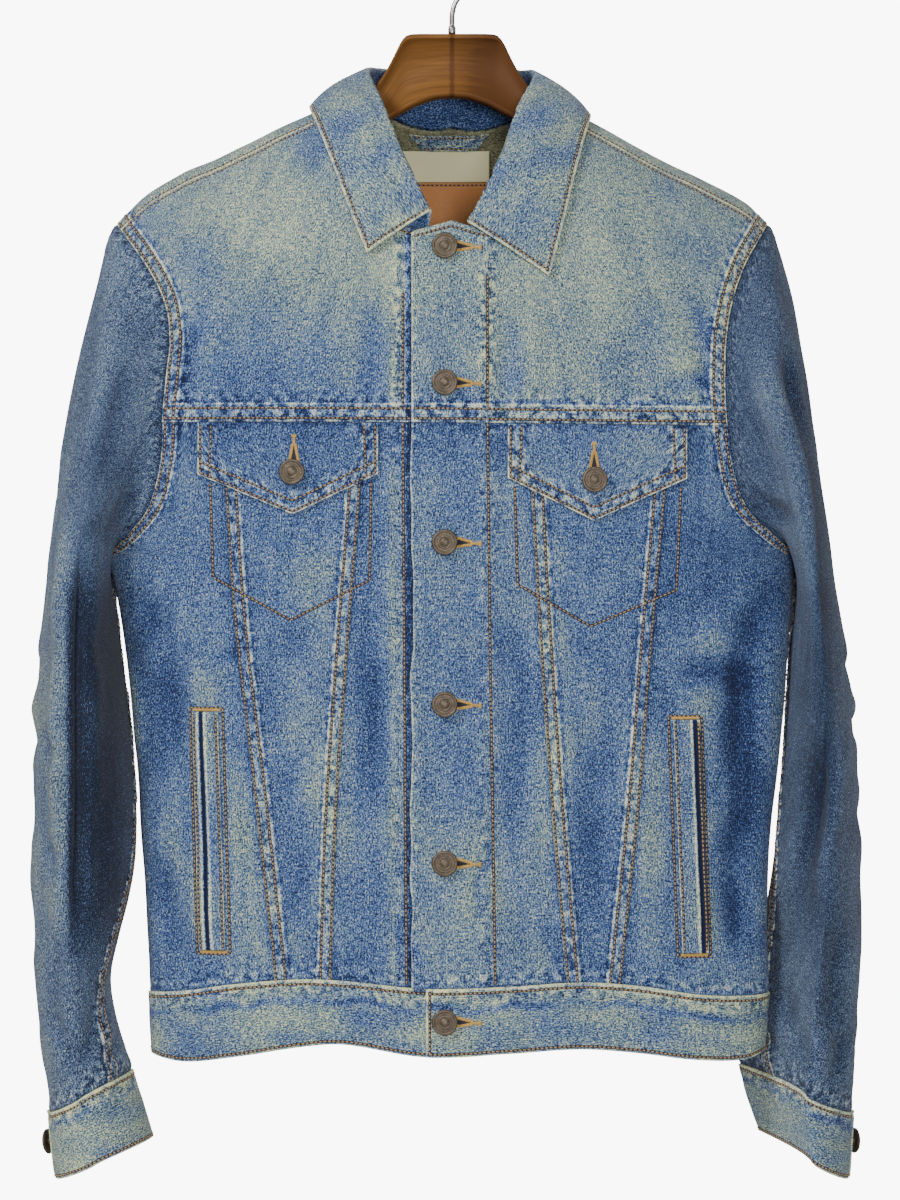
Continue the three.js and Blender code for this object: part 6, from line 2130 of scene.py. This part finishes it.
@dataclass
class Jacket:
    """The whole jacket: its panels, sewing and buttons."""

    body: Body = field(default_factory=Body)
    sleeves: Sleeves = field(default_factory=Sleeves)
    trims: Trims = field(default_factory=Trims)

    def make(self, finishes: dict[str, bpy.types.Material]) -> None:
        """Builds the jacket with its finishes."""
        panels = self.body.cut() + self.sleeves.cut() + self.trims.cut()
        log.info("cut %d panels", len(panels))
        sheets = []
        for panel in panels:
            on_sleeve = panel.part in (Part.SLEEVE_RIGHT, Part.SLEEVE_LEFT)
            face = finishes["denim_sleeve" if on_sleeve else panel.slot]
            two_faced = panel.slot == "denim" and panel.thick == CLOTH
            item = panel.shell(face, finishes["denim_wrong_side"] if two_faced else face)
            declare(item, panel.slot, panel.node)
            size, area = panel.flat_size()
            sheets.append((panel, item, size, area))
            log.info("sewed %s, cut %.3f x %.3f m", item.name, *size)
        for panel, item, size, area in sheets:
            list(panel.rests_on)
        self.sew(panels, finishes)
        self.set_buttons(finishes)

    def sew(self, panels: list[ClothPanel], finishes: dict[str, bpy.types.Material]) -> None:
        """Lays the topstitching, buttonholes and bar tacks."""
        tracer = Tracer([p for p in panels if p.part is Part.BODY])
        threads = {place: Thread(f"stitches_{place}") for place in ("front", "back", "sleeves")}
        for panel in panels:
            if panel.slot in ("label_cotton", "patch_leather"):
                place = "back"
            elif panel.node.startswith(("sleeve", "cuff")):
                place = "sleeves"
            else:
                place = "front" if panel.node.startswith(("front", "flap", "welt", "collar")) else "back"
            threads[place].sew_runs(panel.sewn_lines())
        front = threads["front"]
        for path in self.drawn_lines():
            front.sew_runs(tracer.trace(path))
        for thread in threads.values():
            thread.make(finishes["seam_thread"], "denim")
            thread.make_shade_strips(finishes["painted_stitch_shade"])
        ochre = Thread("stitches_buttonholes")
        for z in BUTTON_Z:
            self.buttonhole(ochre, tracer, (BUTTON_X + 7.5, z), (1, -0.06), 11.5)
        for cut in FLAPS.values():
            self.buttonhole(ochre, tracer, (cut.point_x + 0.5, cut.button_z + 7), (0, 1), 12.5)
        for cut in WELTS.values():
            for (x, z), out in ((cut.top, 1.2), (cut.bottom, -1.2)):
                path = [(x - cut.width / 2 - 0.5, z + out), (x + cut.width / 2 + 0.5, z + out)]
                ochre.sew_runs(tracer.trace(path, 0.8), BAR_TACK)
        ochre.make(finishes["buttonhole_thread"], "denim")
        ochre.make_shade_strips(finishes["painted_stitch_shade"])

    def drawn_lines(self) -> list[list[tuple[float, float]]]:
        """Seam lines that run across panels, in x and height."""
        right, left = FACING_EDGE["right"], FACING_EDGE["left"]
        lines = [[(right, -262), (right, -341)], [(right, -352), (right + 1, -500), (right + 2.5, -741)],
                 [(left, -250), (left, -341)], [(left, -352), (left + 2, -520), (left + 5.5, -741)],
                 [(-168, -393.2), (-166, -459), (-112, -488.7), (-57, -461), (-56, -393.2)],
                 [(43.4, -396.6), (45.5, -464), (96, -492.9), (156, -467.7), (159, -396.6)]]
        for cut in WELTS.values():
            corners = [(-1, cut.top), (1, cut.top), (1, cut.bottom), (-1, cut.bottom), (-1, cut.top)]
            lines.append([(x + side * (cut.width / 2 + 2.6), z + (2.6 if (x, z) == cut.top else -2.6))
                          for side, (x, z) in corners])
        return lines

    @staticmethod
    def buttonhole(thread: Thread, tracer: Tracer, start: tuple[float, float], way: tuple[float, float],
                   length: float) -> None:
        """Sews a keyhole buttonhole: two lips that close into a tail."""
        along = unit(np.array(way, float))
        aside = np.array([-along[1], along[0]])

        def path(*marks: tuple[float, float]) -> list[tuple[Array, Array]]:
            """Lays a line through places along and beside the buttonhole."""
            places = [tuple(np.array(start) + along * reach + aside * gap) for reach, gap in marks]
            return tracer.trace(places, 0.8)
        # A wide strip of painted shade in the slit between the buttonhole's two lips.
        for run, facing in path((0, 0), (0.9 * length, 0)):
            thread.dent(run, facing, 4.2)
        for sign in (-1, 1):
            lip = path((0, sign * 3.1), (3, sign * 2.6), (0.7 * length, sign * 1.5), (length, sign * 0.9))
            thread.sew_runs(lip, BUTTONHOLE)
        thread.sew_runs(path((length - 1, 0), (length + 5.5, 0)), BUTTONHOLE)
        thread.sew_runs(path((length + 5.5, -1.8), (length + 5.5, 1.8)), BAR_TACK)

    def set_buttons(self, finishes: dict[str, bpy.types.Material]) -> None:
        """Sets the ten tack buttons where their solids are."""
        brass = finishes["aged_brass"]
        front = np.array((0.0, -1.0, 0.0))
        for i, z in enumerate(BUTTON_Z):
            top = 2 * BAND_THICK + LAP if i == len(BUTTON_Z) - 1 else 2 * FACED + LAP
            point = body_point(BUTTON_X, z, False) + front * (top + SEAM)
            TackButton(f"front_button_{i + 1}", point, front).make(brass)
        k, turn = (CUFF_RING + HEM_RING) / 2, 338
        for side, cut in FLAPS.items():
            x, z = cut.point_x, cut.button_z
            outward = unit(np.cross(body_point(x + 1, z, False) - body_point(x - 1, z, False),
                                    body_point(x, z + 1, False) - body_point(x, z - 1, False)))
            point = body_point(x, z, False) + outward * (FACED + LAP + FLAP_THICK + SEAM)
            TackButton(f"flap_button_{side}", point, outward).make(brass)
            centre = sleeve_point(side, turn, k)
            axis = mix(sleeve_point(side, turn - 180, k), centre, 0.5)
            outward = unit(np.cross(sleeve_point(side, turn + 1, k) - sleeve_point(side, turn - 1, k),
                                    sleeve_point(side, turn, k + 0.02) - sleeve_point(side, turn, k - 0.02)))
            outward = outward * np.sign(np.dot(outward, centre - axis))
            point = centre + outward * (2 * BAND_THICK + LAP - CLOTH + SEAM)
            TackButton(f"cuff_button_{side}", point, outward).make(brass)


@dataclass
class Studio:
    """The pale floor, the soft lights and the camera."""

    distance: float = 3.03
    aim: tuple[float, float] = (-0.0014, -0.4747)
    lens: float = 128.6
    around: float = 0.32
    backdrop: float = 9.0
    floor: tuple[float, float] = (1.15, -1.35)

    def make_camera(self) -> None:
        """Sets the camera at the photograph's view."""
        data = bpy.data.cameras.new("camera")
        data.lens = self.lens
        data.sensor_fit = "VERTICAL"
        data.sensor_height = 36
        camera = put("camera", data)
        camera.location = (self.aim[0], -self.distance, self.aim[1])
        camera.rotation_euler = (math.pi / 2, 0, 0)
        bpy.context.scene.camera = camera

    def make_light(self, name: str, place: tuple[float, float, float], size: float, power: float) -> None:
        """Adds a soft square light that faces the jacket."""
        data = bpy.data.lights.new(name, "AREA")
        data.size = size
        data.energy = power
        light = put(name, data)
        light.location = place
        light.rotation_euler = (Vector((0, 0, -0.47)) - Vector(place)).to_track_quat("-Z", "Y").to_euler()

    def make_stage(self) -> None:
        """Lays the floor and sets the even white surroundings."""
        world = bpy.data.worlds.new("surroundings")
        world.use_nodes = True
        n = Nodes(world.node_tree)
        background = next(node for node in world.node_tree.nodes if node.type == "BACKGROUND")
        seen = n.add("ShaderNodeLightPath").outputs["Is Camera Ray"]
        strength = n.span(seen, 0, 1, self.around, self.backdrop)
        n.fill(background, {"Color": (1, 1, 1, 1), "Strength": strength})
        bpy.context.scene.world = world
        (radius, height), corners = self.floor, 72
        turn = np.arange(corners) / corners * math.tau
        mesh = bpy.data.meshes.new("floor")
        mesh.from_pydata([(radius * math.cos(a), radius * math.sin(a), height) for a in turn], [],
                         [list(range(corners))])
        material, n, shader = new_material("pale_floor")
        n.fill(shader, {"Base Color": (0.9, 0.9, 0.89, 1), "Roughness": 0.9})
        mesh.materials.append(material)
        floor = put("floor", mesh)
        floor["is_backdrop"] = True

    def make(self) -> None:
        """Sets up the whole studio."""
        self.make_camera()
        self.make_stage()
        self.make_light("key", (-1.5, -1.7, 1.0), 0.8, 47)
        self.make_light("front", (0.3, -2.7, -0.25), 0.6, 35)
        self.make_light("rear", (0.4, 1.9, 0.8), 1.6, 22)


def main() -> None:
    """Builds the studio, the hanger and the jacket."""
    Studio().make()
    weave, stain = weave_group(), mottle_group()
    finishes = {finish.name: finish.make(weave if isinstance(finish, DenimFinish) else stain)
                for finish in FINISHES}
    hanger = WoodHanger()
    hanger.make_wood(finishes["stained_wood"])
    hanger.make_hook(finishes["hook_steel"])
    Jacket().make(finishes)
    low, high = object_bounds()
    boxes = {"cad": [list(map(float, corner)) for corner in CAD_BOX], "visual": [list(map(float, low)), list(map(float, high))]}
    log.info("visual box %s", boxes["visual"])


if __name__ == "__main__":
    logging.basicConfig(level=logging.INFO, format="%(name)s %(message)s")
    main()
